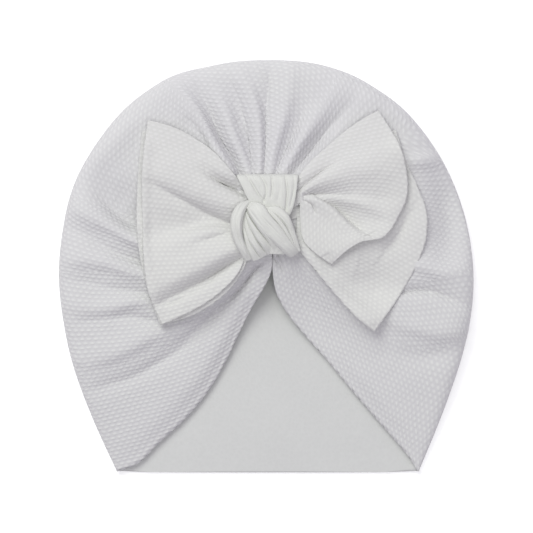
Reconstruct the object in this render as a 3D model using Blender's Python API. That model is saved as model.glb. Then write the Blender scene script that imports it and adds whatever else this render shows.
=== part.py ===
"""A baby's turban cap with a knotted bow, lying flat on its back.

The frame is in metres with +Z up. The back of the cap lies on z = 0, the top of the cap points
along +Y and the face opening, an inverted V under the knot, points along -Y. The tables are in
millimetres from the middle of the cap's outline.
"""

import math

import bmesh
import bpy
import numpy as np

MM = 0.001
CAP_CLOTH = 1.2  # thickness of the cap's knit
BOW_CLOTH = 1.0  # thickness of the bow's strips
UNDER_ROLL = 6.0  # how far the underside curves up before it reaches the outline
HEM_Y = -90.0  # the straight hem at the back of the neck
HEM_LEFT, HEM_RIGHT = -50.0, 51.5  # where the first and last columns of cloth meet the hem

CAP_COLUMNS = ((0.31, 28), (0.69, 27), (1.0, 25))  # up to this share of the fan, so many columns
FRONT_ROWS, ROLL_ROWS, UNDER_ROWS, BACK_ROWS = 9, 4, 3, 3

# A row is a ray of the cap's fan: share of the fan, where it leaves the gather, where it reaches
# the outline. It goes clockwise from the left edge of the V, over the top, to the right edge.
RAYS = (
    (0.00, 1.8, 3.5, -64.8, -89.4),
    (0.04, -1.7, 7.0, -75.0, -66.9),
    (0.12, -3.5, 15.7, -86.8, -30.2),
    (0.20, -3.9, 23.5, -89.2, 8.1),
    (0.26, -7.8, 28.7, -81.3, 40.1),
    (0.31, -11.3, 33.9, -63.5, 66.1),
    (0.35, -11.7, 38.6, -47.4, 78.9),
    (0.42, -6.1, 39.4, -23.7, 86.9),
    (0.50, 0.4, 39.6, 0.9, 89.4),
    (0.58, 7.4, 39.4, 25.3, 86.9),
    (0.65, 13.2, 38.6, 45.1, 78.5),
    (0.70, 13.0, 33.0, 61.1, 66.3),
    (0.76, 10.2, 27.4, 76.7, 42.1),
    (0.82, 6.5, 22.2, 87.7, 13.9),
    (0.90, 5.9, 13.5, 87.7, -26.5),
    (0.96, 5.4, 7.0, 77.0, -62.2),
    (1.00, 3.1, 3.5, 66.0, -89.4),
)

# The two edges of the V, from under the knot down to the corners of the hem: x, y.
LEFT_RIM = (
    (1.8, 3.5), (1.7, -0.9), (-0.9, -7.8), (-5.2, -15.7), (-12.0, -29.0), (-18.7, -43.0),
    (-27.4, -57.0), (-35.2, -66.1), (-47.4, -77.4), (-57.0, -86.5), (-64.8, -89.4),
)
RIGHT_RIM = (
    (3.1, 3.5), (3.0, -1.7), (4.1, -10.4), (8.7, -19.6), (16.5, -29.6), (26.5, -40.9),
    (36.5, -53.0), (46.5, -64.8), (56.1, -75.7), (62.8, -84.0), (66.0, -89.4),
)

# A row is a level of the front: y, height of the front, height of the outline.
FRONT = (
    (-90.0, 3.2, 1.7),
    (-75.0, 6.4, 2.6),
    (-55.0, 9.8, 3.6),
    (-35.0, 13.0, 4.6),
    (-10.0, 16.0, 5.4),
    (20.0, 17.6, 5.8),
    (45.0, 17.4, 5.8),
    (70.0, 16.6, 5.6),
    (90.0, 15.0, 5.4),
)

# How far the front sinks along the two edges of the V: y, drop. It eases out over this width.
RIM_DROP = (
    (-90.0, 0.0), (-75.0, 1.8), (-55.0, 3.6), (-35.0, 5.2), (-20.0, 5.4), (-8.0, 3.2), (2.0, 0.6),
    (10.0, 0.0), (90.0, 0.0),
)
RIM_DROP_WIDTH = 20.0
ROLL_POWER = 2.6  # 2 rolls the front over in a round arc, and more keeps it flat for longer

# A row is a fold of the cap: the x and y of its start, middle and end, how high it stands there
# (below zero for a valley), and its half width at the start and the end.
CAP_FOLDS = (
    ("ridge 1", -13.0, 40.0, -22.6, 53.5, -36.1, 76.5, 1.6, 1.8, 0.8, 2.2, 4.0),
    ("pleat 1", -9.6, 39.0, -20.4, 55.7, -29.0, 70.0, -3.4, -4.2, -1.2, 1.9, 5.0),
    ("ridge 2", -7.2, 40.0, -11.8, 54.8, -19.1, 70.4, 1.8, 1.6, 0.4, 1.8, 3.4),
    ("pleat 2", -4.7, 39.5, -7.6, 52.6, -13.0, 68.0, -3.0, -3.6, -1.2, 1.6, 4.4),
    ("ridge 3", -2.2, 40.0, -4.4, 60.4, -10.9, 84.4, 1.8, 2.0, 0.9, 1.7, 3.2),
    ("pleat 3", -0.1, 39.5, -0.2, 60.4, -0.9, 82.0, -3.2, -3.6, -1.8, 1.5, 5.0),
    ("ridge 4", 2.2, 40.0, 3.4, 60.4, 6.5, 82.0, 1.8, 2.0, 0.8, 1.7, 3.6),
    ("pleat 4", 5.6, 39.5, 13.9, 53.5, 18.6, 66.0, -3.2, -3.2, -0.8, 1.8, 5.0),
    ("ridge 5", 8.6, 40.0, 16.9, 54.8, 29.0, 71.6, 1.8, 2.0, 1.0, 1.8, 4.0),
    ("pleat 5", 11.9, 39.5, 19.3, 49.4, 28.5, 60.5, -3.4, -4.4, -1.2, 2.0, 5.4),
    ("shoulder basin", -54.8, 53.5, -63.5, 40.9, -72.2, 30.4, -2.6, -3.4, -1.6, 8.0, 9.0),
    ("left ridge 1", -57.0, 16.5, -67.0, 23.9, -84.0, 29.1, 1.2, 1.6, 0.8, 4.0, 5.0),
    ("left valley 1", -52.7, 13.0, -71.7, 17.6, -86.4, 19.2, -2.2, -2.2, -1.2, 4.0, 4.6),
    ("left valley 2", -50.6, -4.0, -70.0, -2.3, -86.7, -0.6, -3.0, -3.6, -2.6, 4.6, 5.4),
    ("left valley 3", -47.8, -16.1, -67.8, -23.5, -84.7, -25.5, -2.0, -2.2, -1.2, 4.0, 5.0),
    ("long valley", -10.2, -1.6, -30.7, -26.6, -71.9, -45.6, -4.6, -4.6, -2.2, 4.0, 7.0),
    ("left lip", -1.6, -1.0, -14.0, -24.0, -36.0, -54.0, 1.0, 1.0, 0.0, 3.0, 6.0),
    ("right basin", 61.7, 41.7, 71.2, 20.0, 69.1, 7.0, -2.2, -4.0, -2.0, 9.0, 11.0),
    ("right ridge 1", 56.3, 50.6, 67.0, 47.1, 78.0, 43.7, 1.2, 1.4, 0.8, 4.0, 4.0),
    ("right valley 1", 58.4, -6.5, 73.7, -5.2, 86.7, -2.6, -3.0, -3.0, -1.6, 3.4, 4.0),
    ("right lobe", 57.3, -15.8, 70.3, -18.3, 84.1, -22.6, 1.4, 1.4, 0.8, 5.0, 6.0),
    ("right valley 2", 52.8, -30.8, 69.4, -33.9, 85.8, -31.0, -2.2, -2.8, -1.8, 4.0, 5.0),
)

# The strips of the bow. A wing's edges are given from the knot outwards, its end from the top
# corner to the bottom one: x, y.
REAR_LEFT_TOP = ((-10.8, 33.0), (-18.0, 41.0), (-32.0, 51.5), (-44.0, 58.5), (-53.9, 58.5))
REAR_LEFT_BOTTOM = (
    (-8.0, 9.0), (-8.9, 1.5), (-11.5, -3.9), (-17.0, -10.9), (-25.2, -17.4), (-34.8, -22.2),
    (-46.0, -25.2),
)
REAR_LEFT_END = (
    (-53.9, 58.5), (-55.8, 35.2), (-56.1, 20.0), (-55.2, 7.4), (-51.5, -10.0), (-46.0, -25.2),
)
REAR_RIGHT_TOP = ((13.5, 33.5), (22.0, 42.0), (33.0, 51.0), (45.0, 57.0), (56.0, 59.0))
REAR_RIGHT_BOTTOM = (
    (13.2, 21.0), (13.4, 9.6), (20.7, -0.9), (29.0, -11.1), (38.3, -21.3), (46.6, -28.3),
)
REAR_RIGHT_END = (
    (56.0, 59.0), (59.3, 48.5), (65.0, 35.2), (69.1, 23.9), (69.0, 12.0), (65.0, 0.6),
    (57.8, -12.4), (46.6, -28.3),
)
FRONT_LEFT_TOP = (
    (-11.3, 33.0), (-17.0, 43.5), (-24.4, 50.9), (-33.0, 56.5), (-44.8, 61.7), (-51.3, 63.0),
)
FRONT_LEFT_BOTTOM = (
    (-8.7, 8.0), (-10.0, 1.7), (-12.7, -3.5), (-18.3, -9.6), (-26.7, -16.1), (-36.0, -21.1),
    (-45.2, -25.2),
)
FRONT_LEFT_END = (
    (-51.3, 63.0), (-53.5, 40.9), (-53.5, 20.0), (-53.0, 5.2), (-50.9, -11.3), (-45.2, -25.2),
)
FRONT_RIGHT_TOP = ((13.9, 34.3), (17.8, 43.9), (25.4, 51.0), (33.4, 58.0), (41.7, 63.8), (48.2, 67.4))
FRONT_RIGHT_BOTTOM = ((14.4, 27.0), (14.6, 20.0), (16.0, 11.1), (20.2, 6.4), (28.0, 0.9))
FRONT_RIGHT_END = (
    (48.2, 67.4), (53.0, 60.0), (57.8, 50.9), (60.4, 40.9), (60.4, 29.5), (57.6, 23.0),
    (50.3, 12.6), (40.4, 10.4), (35.0, 7.2), (28.0, 0.9),
)

REST_GAP = 0.35  # between pieces that rest on each other
BOW_COLUMNS, BOW_MIDDLE_COLUMNS, BOW_ROWS = 11, 3, 13

# Folds of the strips, laid out as the cap's folds are.
REAR_FOLDS = (
    ("lifted corner", 18.0, 12.0, 36.0, -4.0, 47.0, -24.0, 0.8, 3.6, 4.6, 6.0, 15.0),
    ("right rib", 20.0, 24.0, 44.0, 14.0, 66.0, 18.0, 0.5, 1.6, 1.4, 3.0, 5.0),
    ("right rib 2", 30.0, 40.0, 50.0, 46.0, 62.0, 38.0, 0.0, 0.6, 1.4, 4.0, 6.0),
    ("left rib", -14.0, 14.0, -30.0, 10.0, -54.0, 10.0, 0.4, 1.0, 1.2, 4.0, 12.0),
)
FRONT_FOLDS = (
    ("left roll", -13.0, 34.0, -28.0, 44.0, -50.0, 54.0, 2.2, 3.6, 2.2, 3.0, 9.0),
    ("left rib", -13.5, 27.0, -28.0, 32.0, -50.0, 44.0, 1.6, 1.4, 0.6, 2.6, 6.0),
    ("left rib 2", -14.0, 18.5, -26.0, 17.0, -48.0, 14.0, 2.4, 3.8, 1.8, 2.8, 9.0),
    ("left rib 3", -13.0, 9.0, -26.0, 4.0, -49.0, -2.0, 2.0, 3.4, 1.8, 2.6, 7.0),
    ("left flap", -13.0, 2.0, -28.0, -10.0, -43.0, -19.0, 1.0, 1.8, 1.0, 2.4, 4.0),
    ("right roll", 16.0, 36.0, 31.0, 48.0, 48.0, 58.0, 1.8, 3.2, 1.8, 2.2, 8.0),
    ("right rib", 17.0, 31.0, 34.0, 36.0, 57.0, 42.0, 1.8, 3.4, 2.2, 2.0, 8.0),
    ("right rib 2", 20.0, 29.0, 38.0, 27.0, 55.0, 26.0, 0.8, 1.6, 1.4, 1.8, 5.0),
    ("right lobe", 17.0, 27.0, 24.0, 16.0, 31.0, 8.0, 1.8, 4.6, 2.8, 2.2, 7.0),
)

# The strap, from the knot over the gather, down through the slit and back inside the cap:
# y, left edge, right edge, mid-height, half thickness.
STRAP = (
    (22.0, -4.0, 11.0, 23.2, 1.4),
    (27.0, -7.0, 12.6, 23.4, 1.4),
    (32.0, -10.0, 13.4, 23.6, 1.4),
    (35.8, -11.7, 13.6, 22.8, 1.3),
    (37.8, -12.6, 13.7, 20.8, 1.1),
    (37.8, -11.2, 12.6, 18.0, 0.9),
    (36.0, -9.4, 10.6, 15.6, 0.9),
    (32.0, -7.0, 8.0, 14.4, 0.9),
    (24.0, -4.0, 6.0, 14.0, 1.0),
    (15.0, -2.0, 4.6, 13.9, 1.1),
    (10.2, -1.2, 4.0, 14.8, 1.2),
    (8.6, -0.8, 4.0, 17.6, 1.3),
    (9.4, -1.6, 4.8, 20.8, 1.4),
    (12.0, -2.4, 5.4, 22.8, 1.4),
)
STRAP_RIBS = ((0.08, 0.35), (0.30, 0.35), (0.52, 0.45), (0.72, 0.4), (0.92, 0.35))  # place, height

# The tied lump is strands fused together: x, y, mid-height, half width, half height.
STRANDS = {
    "fan": (
        (-8.0, 28.0, 23.6, 1.8, 1.4), (-6.4, 23.5, 24.8, 3.8, 2.8), (-4.4, 17.5, 25.4, 6.0, 3.8),
        (-2.2, 11.0, 25.2, 7.4, 3.8), (-0.6, 5.6, 23.8, 6.6, 2.6), (0.0, 3.0, 22.8, 4.6, 1.3),
    ),
    "crescent": (
        (-7.6, 29.0, 24.8, 1.2, 1.2), (-10.8, 26.2, 25.8, 2.0, 2.0), (-13.0, 20.0, 26.5, 2.7, 2.8),
        (-13.1, 13.6, 26.5, 2.7, 2.8), (-11.4, 7.6, 25.4, 2.3, 2.2), (-7.6, 3.0, 23.8, 1.2, 1.2),
    ),
    "diagonal": (
        (-5.4, 28.4, 24.8, 2.4, 1.8), (-1.9, 24.2, 27.4, 3.6, 3.0), (2.6, 18.3, 28.6, 3.8, 3.6),
        (7.0, 13.0, 27.6, 3.6, 3.6), (10.6, 8.6, 25.2, 3.0, 2.8), (12.6, 6.0, 23.6, 1.6, 1.4),
    ),
    "turn": (
        (0.8, 24.6, 25.2, 1.6, 1.6), (5.6, 23.6, 26.8, 2.6, 2.6), (9.2, 19.6, 27.0, 3.0, 3.1),
        (11.0, 14.8, 26.0, 2.8, 3.0), (12.0, 10.0, 24.6, 2.2, 2.4), (13.0, 6.8, 23.4, 1.3, 1.3),
    ),
}
STRAND_SIDES, STRAND_ROWS = 10, 9

OFF_WHITE, WARM_WHITE = (0.80, 0.79, 0.80, 1.0), (0.83, 0.82, 0.82, 1.0)


def through(rows, at):
    """Points of the smooth curve through the rows, whose first value is the place on the curve."""
    rows = np.array(rows, float)
    place, value = rows[:, 0], rows[:, 1:]
    slope = np.gradient(value, place, axis=0)
    at = np.clip(np.asarray(at, float), place[0], place[-1])
    i = np.clip(np.searchsorted(place, at, side="right") - 1, 0, len(place) - 2)
    gap = (place[i + 1] - place[i])[..., None]
    s = ((at - place[i]) / (place[i + 1] - place[i]))[..., None]
    near = (1 + 2 * s) * (1 - s) ** 2 * value[i] + s * (1 - s) ** 2 * gap * slope[i]
    far = s * s * (3 - 2 * s) * value[i + 1] + s * s * (s - 1) * gap * slope[i + 1]
    return near + far


def along(points, at):
    """Points at these shares of the length of the smooth curve through the points."""
    points = np.array(points, float)
    steps = np.linalg.norm(np.diff(points, axis=0), axis=1)
    share = np.concatenate([[0.0], np.cumsum(steps)]) / steps.sum()
    return through(np.column_stack([share, points]), at)


def fold_heights(x, y, table):
    """How much the folds of the table lift the cloth at x, y."""
    lifted = np.zeros_like(x)
    place = np.linspace(0.0, 1.0, 17)
    for _, x0, y0, x1, y1, x2, y2, h0, h1, h2, w0, w2 in table:
        rows = ((0, x0, y0, h0, w0), (0.5, x1, y1, h1, (w0 + w2) / 2), (1, x2, y2, h2, w2))
        line = through(rows, place)
        nearest = np.full(x.shape, np.inf)
        lift = np.zeros_like(x)
        for a, b in zip(line[:-1], line[1:]):
            dx, dy = b[0] - a[0], b[1] - a[1]
            s = np.clip(((x - a[0]) * dx + (y - a[1]) * dy) / (dx * dx + dy * dy), 0, 1)
            away = np.hypot(x - a[0] - s * dx, y - a[1] - s * dy)
            height, width = a[2] + s * (b[2] - a[2]), a[3] + s * (b[3] - a[3])
            closer = away < nearest
            lift = np.where(closer, height * np.exp(-((away / width) ** 2)), lift)
            nearest = np.minimum(nearest, away)
        lifted += lift
    return lifted


def distance_to(x, y, line):
    """Distance of each x, y from a line of points."""
    best = np.full(x.shape, np.inf)
    for a, b in zip(line[:-1], line[1:]):
        d = b - a
        s = np.clip(((x - a[0]) * d[0] + (y - a[1]) * d[1]) / (d @ d), 0, 1)
        best = np.minimum(best, np.hypot(x - a[0] - s * d[0], y - a[1] - s * d[1]))
    return best


def grid_normals(points):
    """Unit normals of a grid of points."""
    across = np.gradient(points, axis=0)
    down = np.gradient(points, axis=1)
    normal = np.cross(across, down)
    return normal / np.linalg.norm(normal, axis=2, keepdims=True)


def sheet_mesh(name, middle, normal, thickness):
    """A closed sheet of cloth around a grid of mid-points, in millimetres."""
    columns, rows = middle.shape[:2]
    both = np.concatenate([
        (middle + normal * thickness / 2).reshape(-1, 3),
        (middle - normal * thickness / 2).reshape(-1, 3),
    ])
    inner = columns * rows
    faces = []
    for i in range(columns - 1):
        for j in range(rows - 1):
            a, b = i * rows + j, (i + 1) * rows + j
            faces.append((a, b, b + 1, a + 1))
            faces.append((inner + a, inner + a + 1, inner + b + 1, inner + b))
    edge = [(i * rows) for i in range(columns)]
    edge += [(columns - 1) * rows + j for j in range(1, rows)]
    edge += [i * rows + rows - 1 for i in range(columns - 2, -1, -1)]
    edge += [j for j in range(rows - 2, 0, -1)]
    for a, b in zip(edge, edge[1:] + edge[:1]):
        faces.append((b, a, inner + a, inner + b))
    return mesh_object(name, both, faces)


def mesh_object(name, points, faces):
    """An object of these points in millimetres, with its faces turned outwards."""
    mesh = bpy.data.meshes.new(name)
    mesh.from_pydata([tuple(p) for p in np.asarray(points) * MM], [], faces)
    work = bmesh.new()
    work.from_mesh(mesh)
    bmesh.ops.recalc_face_normals(work, faces=work.faces)
    bmesh.ops.dissolve_limit(
        work, angle_limit=math.radians(0.02), verts=work.verts, edges=work.edges
    )
    bmesh.ops.triangulate(work, faces=work.faces)
    work.to_mesh(mesh)
    work.free()
    return bpy.data.objects.new(name, mesh)


def fan_shares():
    """The share of the fan at each column of the cap's cloth."""
    shares, start = [0.0], 0.0
    for stop, count in CAP_COLUMNS:
        shares += [start + (stop - start) * (k + 1) / count for k in range(count)]
        start = stop
    return np.array(shares)


def cap_base(x, y, edge_distance):
    """Mid-height of the front without its folds, and how much of its full height it has there."""
    crest, outline = np.moveaxis(through(FRONT, y), -1, 0)
    reach = 0.85 * crest
    part = 1 - np.clip(edge_distance / reach, 0, 1)
    full = (1 - part**ROLL_POWER) ** (1 / ROLL_POWER)
    return outline + (crest - outline) * full, full


def rim_drop(x, y):
    """How far the front sinks at x, y towards the nearer edge of the V."""
    place = np.linspace(0, 1, 33)
    left, right = along(LEFT_RIM, place), along(RIGHT_RIM, place)
    away = np.minimum(distance_to(x, y, left), distance_to(x, y, right))
    return through(RIM_DROP, y)[..., 0] * np.exp(-((away / RIM_DROP_WIDTH) ** 2))


def make_cap():
    """The cap: a fan of columns from the gather over the outline to the hem at the back."""
    share = fan_shares()
    rays = through(RAYS, share)
    start, outline = rays[:, :2], rays[:, 2:]
    length = np.linalg.norm(outline - start, axis=1)
    outline_z = through(FRONT, outline[:, 1])[:, 1]
    reach = 0.85 * through(FRONT, outline[:, 1])[:, 0]

    rows = []
    lean_left = np.clip(1 - share / 0.13, 0, 1) ** 2
    lean_right = np.clip(1 - (1 - share) / 0.13, 0, 1) ** 2
    flat_part = 1 - reach / length
    steps = [flat_part * k / FRONT_ROWS for k in range(FRONT_ROWS + 1)]
    for k in range(1, ROLL_ROWS):
        steps.append(1 - reach / length * (1 - math.sin(math.pi / 2 * k / ROLL_ROWS)))
    for q in steps:
        point = start + (outline - start) * q[:, None]
        left = along(LEFT_RIM, q[0]) - point[0]
        right = along(RIGHT_RIM, q[-1]) - point[-1]
        point = point + lean_left[:, None] * left + lean_right[:, None] * right
        away = distance_to(point[:, 0], point[:, 1], outline)
        height, full = cap_base(point[:, 0], point[:, 1], away)
        height = height - full * rim_drop(point[:, 0], point[:, 1])
        lift = fold_heights(point[:, 0], point[:, 1], CAP_FOLDS) * full * np.clip(height / 14, 0.3, 1)
        rows.append((point, height, lift))

    rows.append((outline, outline_z, np.zeros_like(share)))
    hem_x = HEM_LEFT + (HEM_RIGHT - HEM_LEFT) * share
    hem = np.column_stack([hem_x, np.full_like(share, HEM_Y)])
    run = hem - outline
    run_length = np.linalg.norm(run, axis=1)
    under = np.minimum(UNDER_ROLL, 0.35 * run_length) / run_length
    for k in range(1, UNDER_ROWS + 1):
        turn = math.pi / 2 * k / UNDER_ROWS
        point = outline + run * (under * (1 - math.cos(turn)))[:, None]
        height = outline_z - (outline_z - CAP_CLOTH / 2) * math.sin(turn)
        rows.append((point, height, np.zeros_like(share)))
    for k in range(1, BACK_ROWS + 1):
        part = under + (1 - under) * k / BACK_ROWS
        point = outline + run * part[:, None]
        rows.append((point, np.full_like(share, CAP_CLOTH / 2), np.zeros_like(share)))

    base = np.stack([np.column_stack([p, h]) for p, h, _ in rows], axis=1)
    normal = grid_normals(base)
    flat = len(rows) - BACK_ROWS - 1
    normal[:, flat:] = (0, 0, -1)
    middle = base.copy()
    middle[:, :, 2] += np.stack([lift for _, _, lift in rows], axis=1)
    return sheet_mesh("crown", middle, normal, CAP_CLOTH)


def wing(top, bottom, end, shares, across):
    """Places of a wing's cloth, from the knot outwards and from its top edge to its bottom one."""
    upper, lower, tip = along(top, shares), along(bottom, shares), along(end, across)
    root = upper[0] + (lower[0] - upper[0]) * across[:, None]
    s, w = shares[:, None, None], across[None, :, None]
    sides = (1 - w) * upper[:, None] + w * lower[:, None]
    ends = (1 - s) * root[None] + s * tip[None]
    near = (1 - w) * upper[0] + w * lower[0]
    far = (1 - w) * upper[-1] + w * lower[-1]
    return sides + ends - (1 - s) * near - s * far


def cap_height(x, y):
    """Mid-height of the cap's front with its ridges, and without its valleys."""
    outline = through(RAYS, fan_shares())[:, 2:]
    height, _ = cap_base(x, y, distance_to(x, y, outline))
    return height + fold_heights(x, y, [row for row in CAP_FOLDS if row[8] > 0])


def make_strip(name, left, right, cloth_under, tables):
    """A strip of the bow: its left wing, the gathered middle under the strap, its right wing."""
    shares = np.linspace(0, 1, BOW_COLUMNS + 1) ** 1.15
    across = np.linspace(0, 1, BOW_ROWS + 1)
    left_wing = wing(*left, shares, across)[::-1]
    right_wing = wing(*right, shares, across)
    part = np.linspace(0, 1, BOW_MIDDLE_COLUMNS + 2)[1:-1, None, None]
    pinch = 1 - 0.35 * np.sin(math.pi * part)
    straight = left_wing[-1] * (1 - part) + right_wing[0] * part
    centre = straight.mean(axis=1, keepdims=True)
    place = np.concatenate([left_wing, centre + (straight - centre) * pinch, right_wing])
    x, y = place[..., 0], place[..., 1]
    height = cap_height(x, y) + cloth_under + REST_GAP + BOW_CLOTH / 2
    height += sum(fold_heights(x, y, table) for table in tables)
    middle = np.stack([x, y, height], axis=2)
    normal = np.zeros_like(middle)
    normal[..., 2] = 1
    return sheet_mesh(name, middle, normal, BOW_CLOTH)


def loft(name, rings):
    """A closed body through rings of points, capped at both ends."""
    count, sides = rings.shape[:2]
    faces = []
    for i in range(count - 1):
        for j in range(sides):
            a, b = i * sides + j, i * sides + (j + 1) % sides
            faces.append((a, b, b + sides, a + sides))
    faces.append(tuple(range(sides))[::-1])
    faces.append(tuple((count - 1) * sides + j for j in range(sides)))
    return mesh_object(name, rings.reshape(-1, 3), faces)


def strand_rings(rows):
    """Rings of points around a strand, square to its path."""
    place = np.linspace(0, 1, STRAND_ROWS + 1)
    values = along(rows, place)
    path = values[:, :3]
    ahead = np.gradient(path, axis=0)
    ahead /= np.linalg.norm(ahead, axis=1, keepdims=True)
    side = np.cross(ahead, (0.0, 0.0, 1.0))
    side /= np.linalg.norm(side, axis=1, keepdims=True)
    up = np.cross(side, ahead)
    turn = 2 * math.pi * np.arange(STRAND_SIDES) / STRAND_SIDES
    wide = side[:, None] * (values[:, 3, None] * np.cos(turn))[..., None]
    high = up[:, None] * (values[:, 4, None] * np.sin(turn))[..., None]
    return path[:, None] + wide + high


def strap_rings():
    """Rings of points around the strap, ribbed on its outer side."""
    values = along(STRAP, np.linspace(0, 1, 20))
    y, left, right, height, half = values.T
    ahead = np.gradient(np.column_stack([y, height]), axis=0)
    ahead /= np.linalg.norm(ahead, axis=1, keepdims=True)
    out_y, out_z = -ahead[:, 1], ahead[:, 0]
    facing = np.where(out_z[2] > 0, 1.0, -1.0)
    across = np.linspace(0, 1, 12)
    rib = sum(size * np.exp(-(((across - at) / 0.06) ** 2)) for at, size in STRAP_RIBS)
    rings = []
    for k in range(len(y)):
        ring = []
        shape = np.sqrt(np.clip(1 - (2 * across - 1) ** 6, 0.12, 1))
        for at, lift in zip(across, half[k] * shape + rib * (half[k] > 1.15)):
            ring.append((at, lift))
        for at, lift in zip(across[::-2], -half[k] * shape[::-2]):
            ring.append((at, lift))
        width = right[k] - left[k]
        out = (facing * out_y[k], facing * out_z[k])
        rings.append([
            (left[k] + width * at, y[k] + out[0] * lift, height[k] + out[1] * lift)
            for at, lift in ring
        ])
    return np.array(rings)


def make_knot(cutters):
    """The tied strip: the strap and the strands of the lump, made one body."""
    knot = loft("knot", strap_rings())
    for name, rows in STRANDS.items():
        strand = loft(f"knot {name}", strand_rings(rows))
        strand.hide_render = True
        strand.display_type = "WIRE"
        cutters.objects.link(strand)
        join = knot.modifiers.new(name, "BOOLEAN")
        join.operation, join.solver, join.object = "UNION", "EXACT", strand
    return knot


def material(name, colour):
    """A plain matt cloth colour."""
    made = bpy.data.materials.new(name)
    made.use_nodes = True
    shader = made.node_tree.nodes["Principled BSDF"]
    shader.inputs["Base Color"].default_value = colour
    shader.inputs["Roughness"].default_value = 0.9
    made.diffuse_color = colour
    return made


def main():
    """Builds every piece in its collection."""
    for old in list(bpy.data.objects):
        bpy.data.objects.remove(old, do_unlink=True)
    pieces = bpy.data.collections.new("turban hat")
    cutters = bpy.data.collections.new("turban hat cutters")
    bpy.context.scene.collection.children.link(pieces)
    bpy.context.scene.collection.children.link(cutters)
    rear_left = (REAR_LEFT_TOP, REAR_LEFT_BOTTOM, REAR_LEFT_END)
    rear_right = (REAR_RIGHT_TOP, REAR_RIGHT_BOTTOM, REAR_RIGHT_END)
    front_left = (FRONT_LEFT_TOP, FRONT_LEFT_BOTTOM, FRONT_LEFT_END)
    front_right = (FRONT_RIGHT_TOP, FRONT_RIGHT_BOTTOM, FRONT_RIGHT_END)
    under_rear = CAP_CLOTH / 2
    under_front = CAP_CLOTH / 2 + REST_GAP + BOW_CLOTH
    rear = make_strip("bow_rear", rear_left, rear_right, under_rear, [REAR_FOLDS])
    front = make_strip("bow_front", front_left, front_right, under_front, [REAR_FOLDS, FRONT_FOLDS])
    made = (
        (make_cap(), "cap knit", OFF_WHITE),
        (rear, "rear strip knit", OFF_WHITE),
        (front, "front strip knit", OFF_WHITE),
        (make_knot(cutters), "strap knit", WARM_WHITE),
    )
    for piece, slot, colour in made:
        pieces.objects.link(piece)
        piece.data.materials.append(material(slot, colour))
        piece.data.shade_smooth()


main()
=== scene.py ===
"""The looks of a baby's turban cap with a knotted bow: textured stretch knit, lying on its back.

Lengths in the tables are in millimetres from the middle of the cap's outline. The top of the cap
points along +Y, the face opening along -Y and the bow up.
"""

import math

import bmesh
import bpy
import numpy as np
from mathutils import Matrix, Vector, noise


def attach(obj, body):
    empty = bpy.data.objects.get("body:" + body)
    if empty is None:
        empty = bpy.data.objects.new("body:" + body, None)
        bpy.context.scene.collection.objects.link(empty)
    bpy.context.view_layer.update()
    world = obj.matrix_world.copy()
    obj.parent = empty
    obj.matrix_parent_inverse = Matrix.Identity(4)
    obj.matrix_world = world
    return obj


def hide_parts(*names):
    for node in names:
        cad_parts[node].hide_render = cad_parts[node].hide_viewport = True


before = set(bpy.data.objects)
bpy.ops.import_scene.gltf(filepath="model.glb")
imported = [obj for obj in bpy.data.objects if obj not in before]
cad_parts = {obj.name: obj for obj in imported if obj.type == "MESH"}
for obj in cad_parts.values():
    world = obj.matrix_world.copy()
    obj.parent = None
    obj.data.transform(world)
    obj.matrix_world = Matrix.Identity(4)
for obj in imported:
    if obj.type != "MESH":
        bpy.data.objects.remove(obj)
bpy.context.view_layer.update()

bl_info = {
    "name": "Knotted turban cap",
    "version": (1, 0, 0),
    "blender": (4, 5, 0),
    "location": "3D View > Sidebar > Turban cap",
    "description": "Makes the knit, bow and knot of a baby's turban cap around its packed solids",
    "category": "Object",
}

MM = 0.001
CAP_WALL, BOW_WALL = 1.2, 1.0  # thickness of the knit
REST_GAP = 0.35  # between two cloths that lie on one another
GIVE_WAY = 2.5  # how far inside the bow's edge the cloth below gives way in full
GIVE_WAY_GAP = 0.1  # least gap between the cap and a crease of the bow
SINK_FROM = 0.2  # depth of a crease of the front strip from which the rear strip gives way

# Numbers of columns and rows of the cloths' grids, and of points that stand for a smooth line.
CAP_COLUMNS, FRONT_ROWS, ROLL_ROWS, UNDER_ROWS, BACK_ROWS = 380, 78, 9, 6, 24
WING_COLUMNS, MIDDLE_COLUMNS, WING_ROWS = 96, 12, 110
KNOT_ROWS, KNOT_COLUMNS = 84, (30, 130)
KNOT_COLUMNS_A_MM = 10  # for each mm of half the widest place of a body
FOLD_POINTS, BREAK_POINTS, OUTLINE_POINTS, LOBE_POINTS = 21, 41, 81, 31
OUTLINE_STEP = 3  # every third column's end stands for the outline of the built front

# The front rolls over towards its outline from this many times its height inwards. At a power of 2
# it rolls over in a round arc, and at more it stays flat for longer.
ROLL_REACH, ROLL_POWER = 0.85, 3.6
LEAN = 0.13  # share of the fan of rays, beside each edge of the V, that leans over to that edge
FOLDS_FULL_AT, FOLDS_LEAST = 14.0, 0.3  # height of the front that has its folds whole, least part
UNDER_ROLL, UNDER_ROLL_PART = 6.0, 0.35  # depth of the turn under, and most part of the way it takes
BACK_EASE = 1.7  # more than 1 draws the back panel's rows closer together towards the hem
BACK_SWELL, BACK_UNEVEN, BACK_SWELL_WIDTH = 0.8, 0.2, 60.0  # soft rise of the back panel's middle
BACK_WAVE, BACK_WAVE_SEED, BACK_WAVE_LONG = 16.0, 11.0, 0.25  # its waves, drawn long in Y
HEM_Y, HEM_LEFT, HEM_RIGHT = -90.0, -50.0, 51.5
HEM_FLAT = 15.0  # the back panel's rise ends over this far from the hem
CREASE_SHARP, CREASE_WIDE = 1.3, 5.0  # power of a narrow crease, and half width of a wide one
WING_SPREAD = 1.15  # more than 1 draws a wing's columns closer together towards the knot
MIDDLE_PINCH = 0.35  # how much narrower a strip is under the knot
BOW_WAVES_FROM, BOW_WAVES_OVER = 14.0, 20.0  # the strips grow uneven from the knot outwards
RIGHT_WING_FROM = 10.0  # in x
FLOOR_SIZE = 4.0  # half its width, in metres

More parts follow.
